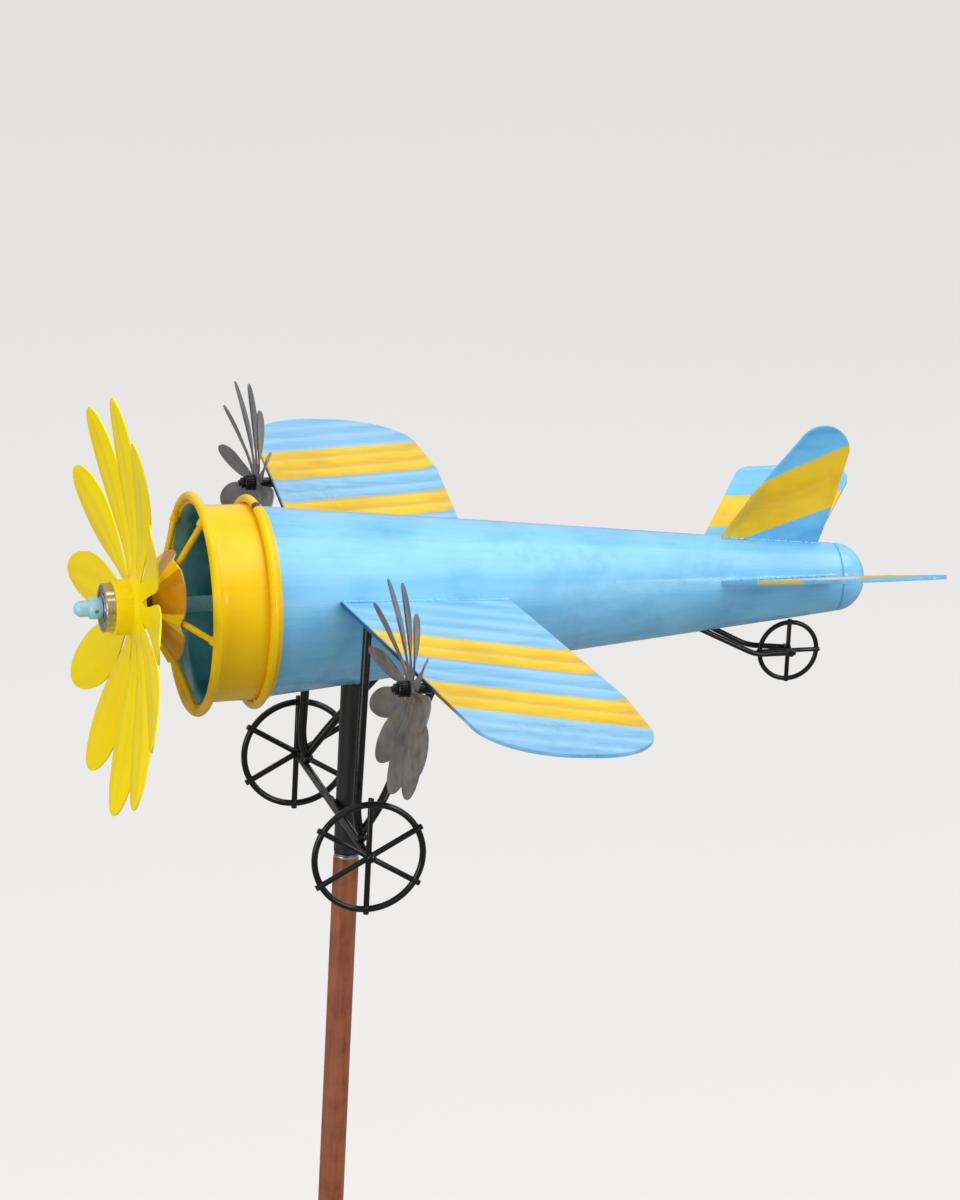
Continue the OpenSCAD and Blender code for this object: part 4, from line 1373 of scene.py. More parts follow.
@dataclass
class MainPropeller:
    """The yellow nose propeller: tube, petals, and the bearings on the fixed shaft."""

    bench: Bench
    axis: float
    shape: PetalShape = PetalShape(22 * MM, 129.4 * MM, 11 * MM, 34 * MM, 14 * MM)
    flange_radius: float = 24 * MM
    turn: float = math.radians(-8)
    bend: float = math.radians(9)

    def build(self) -> None:
        """Builds the wheel, its tube, the shaft parts and the bearings."""
        tube_low, tube_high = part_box("main_prop_housing")
        plane = tube_high.y - 4 * MM
        hub = Vector((0, plane, self.axis))
        PetalWheel(
            self.bench,
            self.shape,
            hub,
            Body.MAIN_PROP,
            Slot.PETAL_YELLOW,
            "main_petal",
            7,
            self.turn,
            self.bend,
        ).build()
        self._tube(tube_low, tube_high, plane)
        self._bearings()
        self._shaft()

    def _tube(self, low: Vector, high: Vector, plane: float) -> None:
        """The short tube, and the flange that flows out of it into the petals."""
        radius, bore, shoulder = high.x, high.x - 2 * MM, high.x - 4 * MM
        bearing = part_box("front_bearing_outer")[1].y
        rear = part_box("rear_bearing_outer")[0].y
        profile = [(low.y, bore), (low.y, radius - 0.5 * MM), (low.y + 0.5 * MM, radius)]
        profile += [(high.y - 0.5 * MM, radius), (high.y, radius - 0.5 * MM), (high.y, bore)]
        profile += [(rear, bore), (rear, shoulder), (bearing, shoulder), (bearing, bore), (low.y, bore)]
        tube = Lathe.along_y(0, self.axis, 96).turn("main_prop_tube", profile)
        self.bench.deliver(tube, Body.MAIN_PROP, Slot.PETAL_YELLOW, stands_for=["main_prop_housing"])
        outer, half = self.flange_radius, 1 * MM
        skirt = [(plane - half - 3.2 * MM, radius - 0.1 * MM)]
        for i in range(1, 9):
            t = i / 8
            skirt.append((plane - half - 3.2 * MM * (1 - t) ** 2.2, radius + (outer - 1 * MM - radius) * t**1.5))
        skirt += [(plane - 0.4 * MM, outer), (plane + 0.4 * MM, outer), (plane + half, outer - 0.8 * MM)]
        skirt += [(plane + half, radius - 0.1 * MM), skirt[0]]
        flange = Lathe.along_y(0, self.axis, 120).turn("main_prop_flange", skirt)
        self.bench.deliver(flange, Body.MAIN_PROP, Slot.PETAL_YELLOW, stands_for=["main_prop_petals"])

    def _bearings(self) -> None:
        """The ball bearings: turned rings with chamfers, shield and balls."""
        lathe = Lathe.along_y(0, self.axis, 120)
        low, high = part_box("front_bearing_outer")
        cut, ring_in, ring_out = 0.55 * MM, 11.49 * MM, high.x
        outer = [(low.y, ring_in), (low.y, 13.3 * MM), (low.y + 0.25 * MM, 13.45 * MM), (low.y, 13.6 * MM)]
        outer += [(low.y, ring_out - cut), (low.y + cut, ring_out), (high.y - cut, ring_out)]
        outer += [(high.y, ring_out - cut), (high.y, ring_in), (low.y, ring_in)]
        self.bench.deliver(
            lathe.turn("bearing_outer_ring", outer), Body.MAIN_PROP, Slot.BEARING, stands_for=["front_bearing_outer"]
        )
        inner = [(low.y, 5 * MM), (low.y, 8.1 * MM), (low.y + 0.4 * MM, 8.51 * MM), (high.y - 0.4 * MM, 8.51 * MM)]
        inner += [(high.y, 8.1 * MM), (high.y, 5 * MM), (low.y, 5 * MM)]
        self.bench.deliver(
            lathe.turn("bearing_inner_ring", inner), Body.PLANE, Slot.BEARING, stands_for=["front_bearing_inner"]
        )
        back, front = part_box("front_bearing_shield")[1].y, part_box("front_bearing_shield")[0].y
        shield = [(front, 11.45 * MM), (front - 0.12 * MM, 10.9 * MM), (front + 0.12 * MM, 10.3 * MM)]
        shield += [(front + 0.05 * MM, 9.4 * MM), (front + 0.2 * MM, 8.82 * MM), (back, 8.82 * MM)]
        shield += [(back, 11.45 * MM), (front, 11.45 * MM)]
        cover = lathe.turn("bearing_shield_ring", shield)
        self.bench.deliver(cover, Body.MAIN_PROP, Slot.PLATED, stands_for=["front_bearing_shield"])
        self.bench.keep(["front_bearing_balls", "rear_bearing_balls", "rear_bearing_outer"], Slot.BEARING)
        self.bench.keep(["rear_bearing_inner"], Slot.BEARING)

    def _shaft(self) -> None:
        """The painted shaft with its domed end, and the collar that holds the bearing."""
        low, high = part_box("prop_shaft")
        radius = high.x
        nose = [(low.y + radius - radius * math.cos(t), radius * math.sin(t)) for t in
                (math.pi / 2 * i / 14 for i in range(15))]
        profile = nose + [(high.y - 0.5 * MM, radius), (high.y, radius - 0.5 * MM), (high.y, 0.0)]
        shaft = Lathe.along_y(0, self.axis, 64).turn("nose_shaft", profile)
        self.bench.deliver(shaft, Body.PLANE, Slot.PALE_BLUE, stands_for=["prop_shaft"])
        start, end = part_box("shaft_collar")
        outer = end.x
        shape = [(start.y, radius), (start.y, outer - 1.6 * MM), (start.y + 0.5 * MM, outer - 0.8 * MM)]
        shape += [(start.y + 1.4 * MM, outer - 0.15 * MM), (start.y + 2.6 * MM, outer), (end.y - 1.2 * MM, outer)]
        shape += [(end.y - 0.3 * MM, outer - 0.5 * MM), (end.y, outer - 1.4 * MM), (end.y, radius)]
        shape.append(shape[0])
        collar = Lathe.along_y(0, self.axis, 64).turn("nose_collar", shape)
        self._drill(collar, Vector((outer, (start.y + end.y) / 2, self.axis)))
        self.bench.deliver(collar, Body.PLANE, Slot.PALE_BLUE, stands_for=["shaft_collar"])
        self.bench.machined(["collar_screw"], Body.PLANE, Slot.DARK, 0.1 * MM)
        self.bench.machined(["shaft_nut", "bearing_spacer"], Body.PLANE, Slot.PLATED)

    @staticmethod
    def _drill(obj: bpy.types.Object, spot: Vector) -> None:
        """Cuts the grub screw's hole into the collar's side."""
        bpy.ops.object.select_all(action="DESELECT")
        bpy.ops.mesh.primitive_cylinder_add(
            vertices=32, radius=1.3 * MM, depth=4 * MM, location=spot, rotation=(0, math.pi / 2, 0)
        )
        cutter = bpy.context.object
        cut = obj.modifiers.new("hole", "BOOLEAN")
        cut.object = cutter
        cut.operation = "DIFFERENCE"
        cut.solver = "EXACT"
        apply_all(obj)
        bpy.data.objects.remove(cutter)


@dataclass
class WingPropeller:
    """One small grey propeller on its axle ahead of a wing."""

    bench: Bench
    side: str
    body: Body
    seed: int
    shape: PetalShape = PetalShape(
        7.5 * MM, 66 * MM, 3.6 * MM, 19 * MM, 8 * MM, math.radians(22), rows=26, columns=12
    )

    def build(self) -> None:
        """Builds the petals, the sleeve and the axle's parts."""
        low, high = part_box(f"wing_prop_{self.side}_sleeve")
        centre = (low + high) / 2
        plane = high.y - 3.5 * MM
        hub = Vector((centre.x, plane, centre.z))
        name = f"{self.side}_petal"
        PetalWheel(self.bench, self.shape, hub, self.body, Slot.PETAL_GREY, name, self.seed).build()
        lathe = Lathe.along_y(centre.x, centre.z, 64)
        disc = [(plane - 0.7 * MM, 5 * MM), (plane - 1 * MM, 6 * MM), (plane - 0.9 * MM, 9 * MM)]
        disc += [(plane - 0.3 * MM, 9.5 * MM), (plane + 0.3 * MM, 9.5 * MM), (plane + 0.9 * MM, 9 * MM)]
        disc += [(plane + 1 * MM, 6 * MM), (plane + 0.7 * MM, 5 * MM), disc[0]]
        flange = lathe.turn(f"{self.side}_prop_disc", disc)
        self.bench.deliver(flange, self.body, Slot.PETAL_GREY, stands_for=[f"wing_prop_{self.side}_petals"])
        radius, bore, cut = 5 * MM, 2.05 * MM, 0.5 * MM
        tube = [(low.y, bore), (low.y, radius - cut), (low.y + cut, radius), (high.y - cut, radius)]
        tube += [(high.y, radius - cut), (high.y, bore), (low.y, bore)]
        sleeve = lathe.turn(f"{self.side}_prop_sleeve", tube)
        self.bench.deliver(sleeve, self.body, Slot.BLACK, stands_for=[f"wing_prop_{self.side}_sleeve"])
        nodes = [f"wing_axle_{self.side}", f"axle_boss_{self.side}", f"axle_retainer_{self.side}"]
        self.bench.machined(nodes, Body.PLANE, Slot.BLACK, 0.3 * MM)


# ---- wings and tail ----


@dataclass
class PressedSheet:
    """A sheet between a leading and a trailing edge, with pressed ridges and a hemmed rim.

    Its own x runs along the span and y towards the tail. The seat places it.
    """

    name: str
    seat: Matrix
    lead: Callable[[float], float]
    trail: Callable[[float], float]
    root: float
    bend: float
    tip: float
    ridge: Callable[[np.ndarray, np.ndarray], np.ndarray]
    band: Callable[[np.ndarray, np.ndarray], np.ndarray]
    side: int = 1
    columns: int = 110
    rows: int = 52
    tip_turn: float = math.pi / 2
    thickness: float = 1.6 * MM
    hem_thickness: float = 2.4 * MM
    hem_width: float = 3.6 * MM
    # How far out along the span the painted shade on the leading edge reaches.
    painted_shade_to: float = 0.0

    def _span(self, share: float) -> float:
        """Where along the span a column of the grid stands, closer together round the tip."""
        straight = 0.6
        if share < straight:
            return self.root + (self.bend - self.root) * share / straight
        turn = self.tip_turn * (share - straight) / (1 - straight)
        return self.bend + (self.tip - self.bend) * math.sin(turn)

    def build(self) -> bpy.types.Object:
        """Shapes a grid to the outline, presses the ridges, thickens it and rounds the rim."""
        bpy.ops.object.select_all(action="DESELECT")
        bpy.ops.mesh.primitive_grid_add(x_subdivisions=self.columns, y_subdivisions=self.rows, size=1)
        obj = adopt(self.name)
        rows = points_of(obj)
        span = np.array([self._span(u) for u in rows[:, 0] + 0.5])
        across = rows[:, 1] + 0.5
        across = 0.7 * across + 0.3 * (0.5 - 0.5 * np.cos(np.pi * across))
        front = np.array([self.lead(x) for x in span])
        rear = np.array([self.trail(x) for x in span])
        chord = front + (rear - front) * across
        inset = np.minimum(np.minimum(chord - front, rear - chord), (self.tip - span) + 0.5 * MM)
        fade = np.clip(inset / (7 * MM), 0, 1) ** 2
        height = self.ridge(span, chord) * fade
        set_points(obj, np.stack([span * self.side, chord, height], 1))
        hem = obj.vertex_groups.new(name="hem")
        for i, gap in enumerate(inset):
            hem.add([i], float(np.clip((self.hem_width - gap) / (1.2 * MM), 0, 1)), "REPLACE")
        wall = obj.modifiers.new("wall", "SOLIDIFY")
        wall.thickness = self.hem_thickness
        wall.offset = 0
        wall.vertex_group = "hem"
        wall.thickness_vertex_group = self.thickness / self.hem_thickness
        apply_all(obj)
        tidy_mesh(obj, 0.001 * MM)
        soften(obj, self.thickness * 0.42, 3, 50.0)
        rows = points_of(obj)
        span = np.abs(rows[:, 0])
        store(obj, "band", self.band(span, rows[:, 1]))
        # Painted shade: a dark strip along the leading edge, wider on the lower face and fading out towards the tip,
        # for the underside seen in shade.
        behind = rows[:, 1] - np.array([self.lead(x) for x in span])
        lower = np.where(rows[:, 2] < 0, 2.4 * MM, 1.2 * MM)
        dark = np.clip((lower - behind) / (0.5 * MM), 0, 1) * np.clip((self.painted_shade_to - span) / (20 * MM), 0, 1)
        store(obj, "painted_shade", dark)
        obj.data.transform(self.seat)
        return obj


@dataclass
class Wings:
    """The two striped wings and the welds along their roots."""

    bench: Bench
    fuselage: Fuselage
    front: float = -24 * MM
    sweep: float = 0.11
    chord: float = 111 * MM
    back_slope: float = 0.13
    shoulder: float = 217 * MM
    rise: float = 15 * MM
    incidence: float = math.radians(3.5)
    tip_radius: float = 52 * MM
    tip_back_radius: float = 46 * MM
    tip_inset: float = 0.5 * MM
    lean: float = 0.30
    ridge_pitch: float = 21.5 * MM
    ridge_height: float = 0.85 * MM

    def _lead(self, x: float) -> float:
        """The leading edge at x."""
        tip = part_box("wing_port")[1].x - self.tip_inset
        start = tip - self.tip_radius
        edge = self.front + self.sweep * (min(x, start) - self.fuselage.front_radius)
        if x <= start:
            return edge
        return edge + self.tip_radius - math.sqrt(max(0.0, self.tip_radius**2 - (x - start) ** 2))

    def _trail(self, x: float) -> float:
        """The trailing edge at x."""
        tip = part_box("wing_port")[1].x - self.tip_inset
        start = tip - self.tip_back_radius
        run = min(x, self.shoulder) - self.fuselage.front_radius
        edge = self.front + self.chord + self.back_slope * run
        if x <= start:
            return edge
        return edge - self.tip_back_radius + math.sqrt(max(0.0, self.tip_back_radius**2 - (x - start) ** 2))

    def _along(self, x: np.ndarray, y: np.ndarray) -> np.ndarray:
        """The distance out along the span, measured square to the painted bands."""
        return x - self.lean * (y + 8 * MM)

    def _ridges(self, x: np.ndarray, y: np.ndarray) -> np.ndarray:
        """The height of the pressed ridges."""
        t = self._along(x, y)
        wave = np.cos(2 * np.pi * (t - 112 * MM) / self.ridge_pitch)
        window = np.clip((t - 72 * MM) / (14 * MM), 0, 1) * np.clip((252 * MM - t) / (14 * MM), 0, 1)
        lazy = 0.5 * MM * np.sin(t / (41 * MM)) * np.sin(y / (37 * MM))
        return self.ridge_height * wave * window + lazy

    def build(self) -> None:
        """Builds both wings and their welds."""
        hinge = Vector((0, self.front, self.fuselage.axis + self.rise))
        seat = (
            Matrix.Translation(hinge)
            @ Matrix.Rotation(-self.incidence, 4, "X")
            @ Matrix.Translation((0, -self.front, 0))
        )
        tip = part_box("wing_port")[1].x - self.tip_inset
        for name, side in SIDES:
            sheet = PressedSheet(
                f"{name}_wing",
                seat,
                self._lead,
                self._trail,
                41 * MM,
                tip - self.tip_radius,
                tip,
                self._ridges,
                self._along,
                side,
                # The painted shade along the leading edge reaches 225 mm out.
                painted_shade_to=225 * MM,
            )
            obj = sheet.build()
            self.bench.deliver(obj, Body.PLANE, Slot.BLUE, "wing_enamel", [f"wing_{name}"])
            self._root_weld(name, side, seat)

    def _root_weld(self, name: str, side: int, seat: Matrix) -> None:
        """The run of weld where the wing meets the cone."""
        path = []
        for i in range(15):
            y = self.front + 2 * MM + (self.chord - 6 * MM) * i / 14
            lift = (seat @ Vector((0.05, y, 0))).z + 1.1 * MM - self.fuselage.axis
            x = math.sqrt(self.fuselage.skin(y) ** 2 - lift**2) + 0.1 * MM
            path.append(Vector((side * x, y, self.fuselage.axis + lift)))
        weld = self.bench.welder.run(f"{name}_wing_weld", path, 1.35 * MM, 1.8 * MM, 31 + side)
        self.bench.deliver(weld, Body.PLANE, Slot.BLUE)


@dataclass
class Tail:
    """The fin and the two stabilisers, banded in yellow, with their root welds."""

    bench: Bench
    fuselage: Fuselage
    dihedral: float = math.radians(18)
    fin_round: float = 17 * MM
    fin_centre: float = 294.5 * MM
    corner: float = 13 * MM
    stabiliser_tip: float = 117 * MM
    fin_tacks: tuple[float, ...] = (0.233, 0.25, 0.268, 0.286, 0.296)
    stabiliser_tacks: tuple[float, ...] = (0.226, 0.24, 0.256, 0.272, 0.288, 0.3)

    def build(self) -> None:
        """Builds the three sheets and their welds."""
        self._fin()
        self._stabilisers()
        self._welds()

    def _fin(self) -> None:
        """The upright fin with one valley pressed along its yellow band."""
        axis = self.fuselage.axis
        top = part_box("vertical_fin")[1].z - axis
        middle = top - self.fin_round

        def lead(z: float) -> float:
            """The fin's front edge at a height above the cone's line."""
            joint = middle + self.fin_round * math.sin(math.radians(138))
            if z > joint:
                return self.fin_centre - math.sqrt(max(0.0, self.fin_round**2 - (z - middle) ** 2))
            if z > 58 * MM:
                end = self.fin_centre + self.fin_round * math.cos(math.radians(138))
                return 252 * MM + (end - 252 * MM) * (z - 58 * MM) / (joint - 58 * MM)
            return 228 * MM + 24 * MM * (z - 24 * MM) / (34 * MM)

        def trail(z: float) -> float:
            """The fin's rear edge at a height above the cone's line."""
            if z > middle:
                return self.fin_centre + math.sqrt(max(0.0, self.fin_round**2 - (z - middle) ** 2))
            if z > 46 * MM:
                end = self.fin_centre + self.fin_round
                return 302 * MM + (end - 302 * MM) * (z - 46 * MM) / (middle - 46 * MM)
            return 292 * MM + 10 * MM * (z - 15.4 * MM) / (30.6 * MM)

        def share(z: np.ndarray, y: np.ndarray) -> np.ndarray:
            """How far a point lies between the band's lower and upper border."""
            low = 27 * MM + 0.328 * (y - 243 * MM)
            high = 66 * MM + 0.42 * (y - 260 * MM)
            return (z - low) / (high - low)

        def valley(z: np.ndarray, y: np.ndarray) -> np.ndarray:
            """The depth of the pressed valley."""
            t = np.clip(1 - np.abs(2 * share(z, y) - 1), 0, 1)
            return -1.3 * MM * t

        upright = Matrix(((0, 0, 1, 0), (0, 1, 0, 0), (1, 0, 0, axis), (0, 0, 0, 1)))
        sheet = PressedSheet(
            "fin",
            upright,
            lead,
            trail,
            17 * MM,
            middle,
            top,
            valley,
            lambda z, y: share(z, y) * 40 * MM,
            columns=72,
            rows=44,
            tip_turn=math.radians(86),
        )
        obj = sheet.build()
        tidy_mesh(obj)
        self.bench.deliver(obj, Body.PLANE, Slot.BLUE, "fin_enamel", ["vertical_fin"])

    def _stabilisers(self) -> None:
        """The two level tail sheets, raised by the dihedral."""
        tip = self.stabiliser_tip
        start = tip - self.corner

        def lead(x: float) -> float:
            """The front edge at x."""
            turn = math.radians(58)
            end_x, end_y = start + self.corner * math.cos(turn), 284 * MM - self.corner * math.sin(turn)
            if x > end_x:
                return 284 * MM - math.sqrt(max(0.0, self.corner**2 - (x - start) ** 2))
            return 216 * MM + (end_y - 216 * MM) * (x - 15.4 * MM) / (end_x - 15.4 * MM)

        def trail(x: float) -> float:
            """The rear edge at x."""
            turn = math.radians(118)
            end_x, end_y = start + self.corner * math.cos(turn), 332 * MM + self.corner * math.sin(turn)
            if x > end_x:
                return 332 * MM + math.sqrt(max(0.0, self.corner**2 - (x - start) ** 2))
            return 292 * MM + (end_y - 292 * MM) * (x - 15.4 * MM) / (end_x - 15.4 * MM)

        def fold(x: np.ndarray, y: np.ndarray) -> np.ndarray:
            """The one soft fold along the middle of the yellow band."""
            return 0.9 * MM * np.clip(1 - np.abs(x - 71 * MM) / (16 * MM), 0, 1)

        for name, side in SIDES:
            seat = Matrix.Translation((0, 0, self.fuselage.axis)) @ Matrix.Rotation(-side * self.dihedral, 4, "Y")
            sheet = PressedSheet(
                f"{name}_stabiliser",
                seat,
                lead,
                trail,
                18 * MM,
                start,
                tip,
                fold,
                lambda x, y: x,
                side,
                columns=64,
                rows=44,
            )
            self.bench.deliver(sheet.build(), Body.PLANE, Slot.BLUE, "stabiliser_enamel", [f"stabiliser_{name}"])

    def _welds(self) -> None:
        """The tack welds along the roots."""
        welder = self.bench.welder
        cone = self.fuselage
        top = [Vector((0.9 * MM, y, cone.axis + cone.skin(y) + 0.2 * MM)) for y in self.fin_tacks]
        self.bench.deliver(welder.run("fin_weld", top, 1.1 * MM, 2.1 * MM, 51), Body.PLANE, Slot.BLUE)
        for name, side in SIDES:
            path = []
            for y in self.stabiliser_tacks:
                r = cone.skin(y) + 0.2 * MM
                turn = self.dihedral + 1.2 * MM / r
                path.append(Vector((side * r * math.cos(turn), y, cone.axis + r * math.sin(turn))))
            run = welder.run(f"{name}_stabiliser_weld", path, 1.0 * MM, 2.1 * MM, 57 + side)
            self.bench.deliver(run, Body.PLANE, Slot.BLUE)


# ---- landing gear ----


@dataclass
class LandingGear:
    """Black wire: two bent struts, a cross bar, two spoked wheels and the small tail wheel."""

    bench: Bench
    fuselage: Fuselage
    strut: float = 5.5 * MM
    rod: float = 3.6 * MM
    inboard: float = 22 * MM

    def build(self) -> None:
        """Builds the main gear and the tail gear."""
        self._main()
        self._tail()

    def _wheel(self, name: str, centre: Vector, radius: float, wire_size: float, rods: int, rod: float, past: float,
               hub: float) -> bpy.types.Object:
        """A wire ring with rods welded across it.

        Args:
            name: the piece's name.
            centre: the wheel's centre.
            radius: its outer radius.
            wire_size: the ring's wire diameter.
            rods: how many rods cross it.
            rod: the rods' diameter.
            past: how far the rods stand out past the ring.
            hub: the radius of the weld in the middle.

        Returns:
            The mesh object.
        """
        parts = [ring(name, centre, radius - wire_size / 2, wire_size, "X")]
        spots = []
        for i in range(rods):
            turn = math.pi / rods * i
            out = Vector((0, -math.sin(turn), math.cos(turn)))
            shift = Vector(((i - (rods - 1) / 2) * rod * 0.22, 0, 0))
            ends = [centre + shift - out * (radius + past), centre + shift + out * (radius + past)]
            parts.append(wire(f"{name}_rod_{i}", ends, rod))
            spots += [centre + out * (radius - wire_size * 0.6), centre - out * (radius - wire_size * 0.6)]
        parts.append(self.bench.welder.blob(f"{name}_welds", spots, rod * 0.62, rods))
        middle = [centre, centre + Vector((hub * 0.3, 0.3 * hub, 0)), centre + Vector((-0.3 * hub, 0, 0.3 * hub))]
        parts.append(self.bench.welder.blob(f"{name}_hub", middle, hub, rods + 1))
        return fuse(parts, name)

    def _main(self) -> None:
        """The struts, the bar between them and the two big wheels."""
        axis = self.fuselage.axis
        bar_low, bar_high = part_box("gear_axle_bar")
        level = (bar_low.z + bar_high.z) / 2
        line = (bar_low.y + bar_high.y) / 2
        foot = level + (5 * MM + self.strut + 0.3 * MM) / 2
        for name, side in SIDES:
            low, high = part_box(f"wheel_{name}")
            centre = (low + high) / 2
            out = abs(centre.x) - self.inboard
            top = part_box(f"gear_strut_{name}")[1].z
            path = [
                Vector((side * 66 * MM, line, top - 0.2 * MM)),
                Vector((side * out, line - 3 * MM, foot + 14 * MM)),
                Vector((side * out, line, foot)),
                Vector((side * (out - 3 * MM), line + 13.5 * MM, foot + 20 * MM)),
                Vector((side * 28 * MM, 51 * MM, axis - 30 * MM)),
            ]
            strut = wire(f"{name}_strut", path, self.strut, 9 * MM)
            toe = self.bench.welder.blob(
                f"{name}_toe", [path[2] - Vector((0, 0, 2.4 * MM)), path[2] - Vector((0, -1.5 * MM, 1 * MM))],
                3.4 * MM, 61 + side)
            piece = fuse([strut, toe], f"{name}_gear_strut")
            self.bench.deliver(piece, Body.PLANE, Slot.BLACK, stands_for=[f"gear_strut_{name}"])
            wheel = self._wheel(f"{name}_wheel", Vector((centre.x, line, level)), 36 * MM, 4 * MM, 3, self.rod,
                                1.6 * MM, 3.4 * MM)
            self.bench.deliver(wheel, Body.PLANE, Slot.BLACK, stands_for=[f"wheel_{name}"])
        bar = wire("gear_bar", [Vector((bar_low.x, line, level)), Vector((bar_high.x, line, level))], 5 * MM)
        collar = [Vector((s * 7.5 * MM, line + 1 * MM, level)) for s in (-1, 0, 1)]
        weld = self.bench.welder.run("bar_weld", collar, 3 * MM, 2.5 * MM, 71)
        self.bench.deliver(fuse([bar, weld], "gear_cross_bar"), Body.PLANE, Slot.BLACK, stands_for=["gear_axle_bar"])

    def _tail(self) -> None:
        """The fork, its pin and the small wheel."""
        axis = self.fuselage.axis
        low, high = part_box("tail_wheel")
        centre = (low + high) / 2
        arms = []
        for side in (-1, 1):
            path = [
                Vector((side * 12 * MM, 205 * MM, axis - 20 * MM)),
                Vector((side * 9 * MM, 256 * MM, axis - 46 * MM)),
                Vector((side * 5 * MM, centre.y + 3 * MM, centre.z)),
            ]
            arms.append(wire(f"tail_arm_{side + 1}", path, 3.5 * MM, 6 * MM))
        self.bench.deliver(fuse(arms, "tail_wheel_fork"), Body.PLANE, Slot.BLACK, stands_for=["tail_fork"])
        pin_low, pin_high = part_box("tail_wheel_pin")
        pin = wire("tail_pin", [Vector((pin_low.x, centre.y, centre.z)), Vector((pin_high.x, centre.y, centre.z))],
                   4 * MM)
        self.bench.deliver(pin, Body.PLANE, Slot.BLACK, stands_for=["tail_wheel_pin"])
        wheel = self._wheel("tail_wire_wheel", centre, 20 * MM, 3 * MM, 2, 2.8 * MM, 0.4 * MM, 2.6 * MM)
        self.bench.deliver(wheel, Body.PLANE, Slot.BLACK, stands_for=["tail_wheel"])


# ---- studio ----


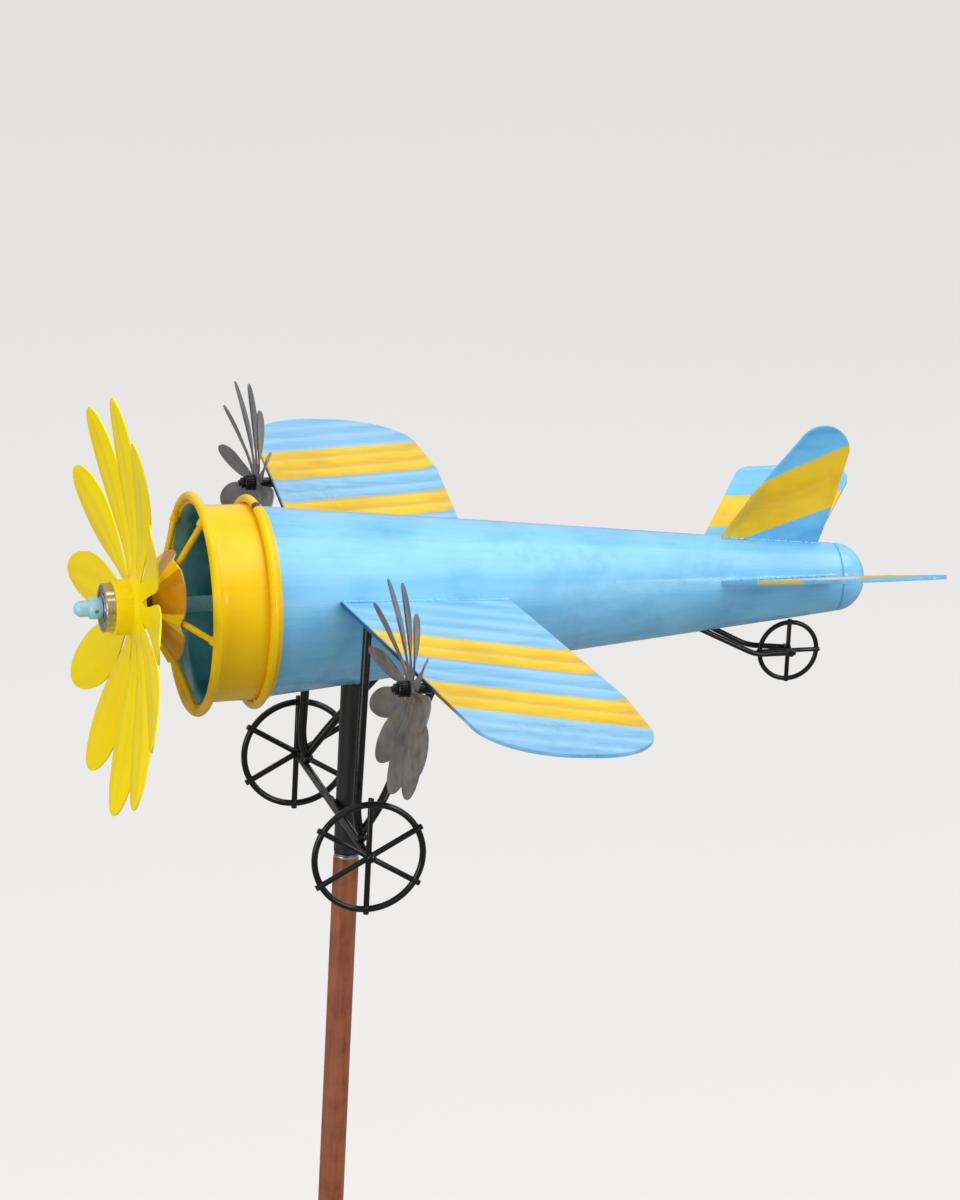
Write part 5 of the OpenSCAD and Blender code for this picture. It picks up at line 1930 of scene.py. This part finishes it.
@dataclass
class Studio:
    """A pale floor, a pale room, soft lights and the camera."""

    axis: float
    azimuth: float = 73.9
    elevation: float = 19.0
    roll: float = 2.9
    distance: float = 4.5
    lens: float = 220.0
    floor_size: float = 80.0
    lights: list[bpy.types.Object] = field(default_factory=list)

    def build(self) -> None:
        """Builds the room and sets the camera."""
        scene = bpy.context.scene
        scene.view_settings.view_transform = "Standard"
        scene.view_settings.look = "None"
        self._floor()
        self._world()
        self._sun()
        self._softbox("over_softbox", Vector((0.4, 1.2, 3.0)), (3.2, 3.2), 22.0)
        self._softbox("side_softbox", Vector((3.0, 2.2, 1.5)), (0.45, 1.6), 22.0)
        self._softbox("front_softbox", Vector((1.3, -2.6, 0.9)), (1.8, 1.8), 30.0)
        self._camera()

    def _floor(self) -> None:
        """The floor, a very large pale sheet under the stake's tip."""
        bpy.ops.object.select_all(action="DESELECT")
        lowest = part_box("ground_stake")[0].z
        bpy.ops.mesh.primitive_plane_add(size=self.floor_size, location=(0, 0, lowest - 1 * MM))
        floor = adopt("floor")
        settle(floor)
        material, g, shader, where = start_material("pale_floor")
        cloud = g.noise(where, 0.35, 2.0, 0.5)
        g.feed(shader.inputs["Base Color"], g.blend(cloud, rgb(219, 218, 217), rgb(224, 223, 222)))
        shader.inputs["Roughness"].default_value = 0.9
        shader.inputs["Specular IOR Level"].default_value = 0.0
        dim = g.add("BsdfDiffuse", {"Color": rgb(142, 140, 138)})
        seen = g.add("LightPath").outputs["Is Camera Ray"]
        mixed = g.add("MixShader", {0: seen, 1: dim.outputs[0], 2: shader.outputs[0]})
        g.feed(material.node_tree.nodes["Material Output"].inputs["Surface"], mixed.outputs[0])
        floor.data.materials.append(material)

    @staticmethod
    def _world() -> None:
        """A pale room, a little brighter overhead."""
        world = bpy.data.worlds.new("pale_room")
        world.use_nodes = True
        g = Graph(world.node_tree)
        where = g.add("TexCoord").outputs["Generated"]
        height = g.add("SeparateXYZ", {0: where}).outputs["Z"]
        colour = g.blend(g.ramp(height, -0.1, 0.9), rgb(226, 226, 226), rgb(255, 255, 255))
        back = world.node_tree.nodes["Background"]
        g.feed(back.inputs["Color"], colour)
        back.inputs["Strength"].default_value = 0.77
        bpy.context.scene.world = world

    @staticmethod
    def _sun() -> None:
        """The even key light, soft as a large window."""
        lamp = bpy.data.lights.new("window", "SUN")
        lamp.energy = 1.0
        lamp.angle = math.radians(50)
        obj = bpy.data.objects.new("window", lamp)
        obj.rotation_euler = Vector((-0.35, -0.9, -1.7)).to_track_quat("-Z", "Y").to_euler()
        bpy.context.scene.collection.objects.link(obj)

    def _softbox(self, name: str, place: Vector, size: tuple[float, float], power: float) -> None:
        """A soft box that faces the fuselage and hides from the camera.

        Args:
            name: the light's name.
            place: where it hangs.
            size: its width and height.
            power: its power in watts.
        """
        lamp = bpy.data.lights.new(name, "AREA")
        lamp.shape = "RECTANGLE"
        lamp.size, lamp.size_y = size
        lamp.energy = power
        obj = bpy.data.objects.new(name, lamp)
        obj.location = place
        obj.rotation_euler = (Vector((0, 0.05, self.axis)) - place).to_track_quat("-Z", "Y").to_euler()
        obj.visible_camera = False
        bpy.context.scene.collection.objects.link(obj)
        self.lights.append(obj)

    def _camera(self) -> None:
        """The long lens, level with the wing's upper side and rolled with the plane's lean."""
        turn, rise, roll = map(math.radians, (self.azimuth, self.elevation, self.roll))
        back = Vector((math.sin(turn) * math.cos(rise), -math.cos(turn) * math.cos(rise), math.sin(rise)))
        right = (-back).cross(Vector((0, 0, 1))).normalized()
        up = right.cross(-back)
        target = Vector((0, 0, self.axis)) + right * 0.075 + up * 0.002
        across = right * math.cos(roll) + up * math.sin(roll)
        above = up * math.cos(roll) - right * math.sin(roll)
        data = bpy.data.cameras.new("studio_camera")
        data.lens = self.lens
        data.sensor_width = 36.0
        data.clip_end = 200.0
        camera = bpy.data.objects.new("studio_camera", data)
        turned = Matrix((across, above, back)).transposed().to_4x4()
        camera.matrix_world = Matrix.Translation(target + back * self.distance) @ turned
        bpy.context.scene.collection.objects.link(camera)
        bpy.context.scene.camera = camera


def main() -> None:
    """Builds every sub-assembly in order and reports it."""
    logging.basicConfig(level=logging.INFO, format="%(message)s")
    bench = Bench(PaintShop())
    Stand(bench).build()
    fuselage = Fuselage(bench)
    fuselage.build()
    Cowl(bench, fuselage).build()
    MainPropeller(bench, fuselage.axis).build()
    for side, body, seed in (("port", Body.PORT_PROP, 17), ("starboard", Body.STARBOARD_PROP, 23)):
        WingPropeller(bench, side, body, seed).build()
    Wings(bench, fuselage).build()
    Tail(bench, fuselage).build()
    LandingGear(bench, fuselage).build()
    Studio(fuselage.axis).build()
    LOG.info("%d pieces built", bench.count)


if __name__ == "__main__":
    main()
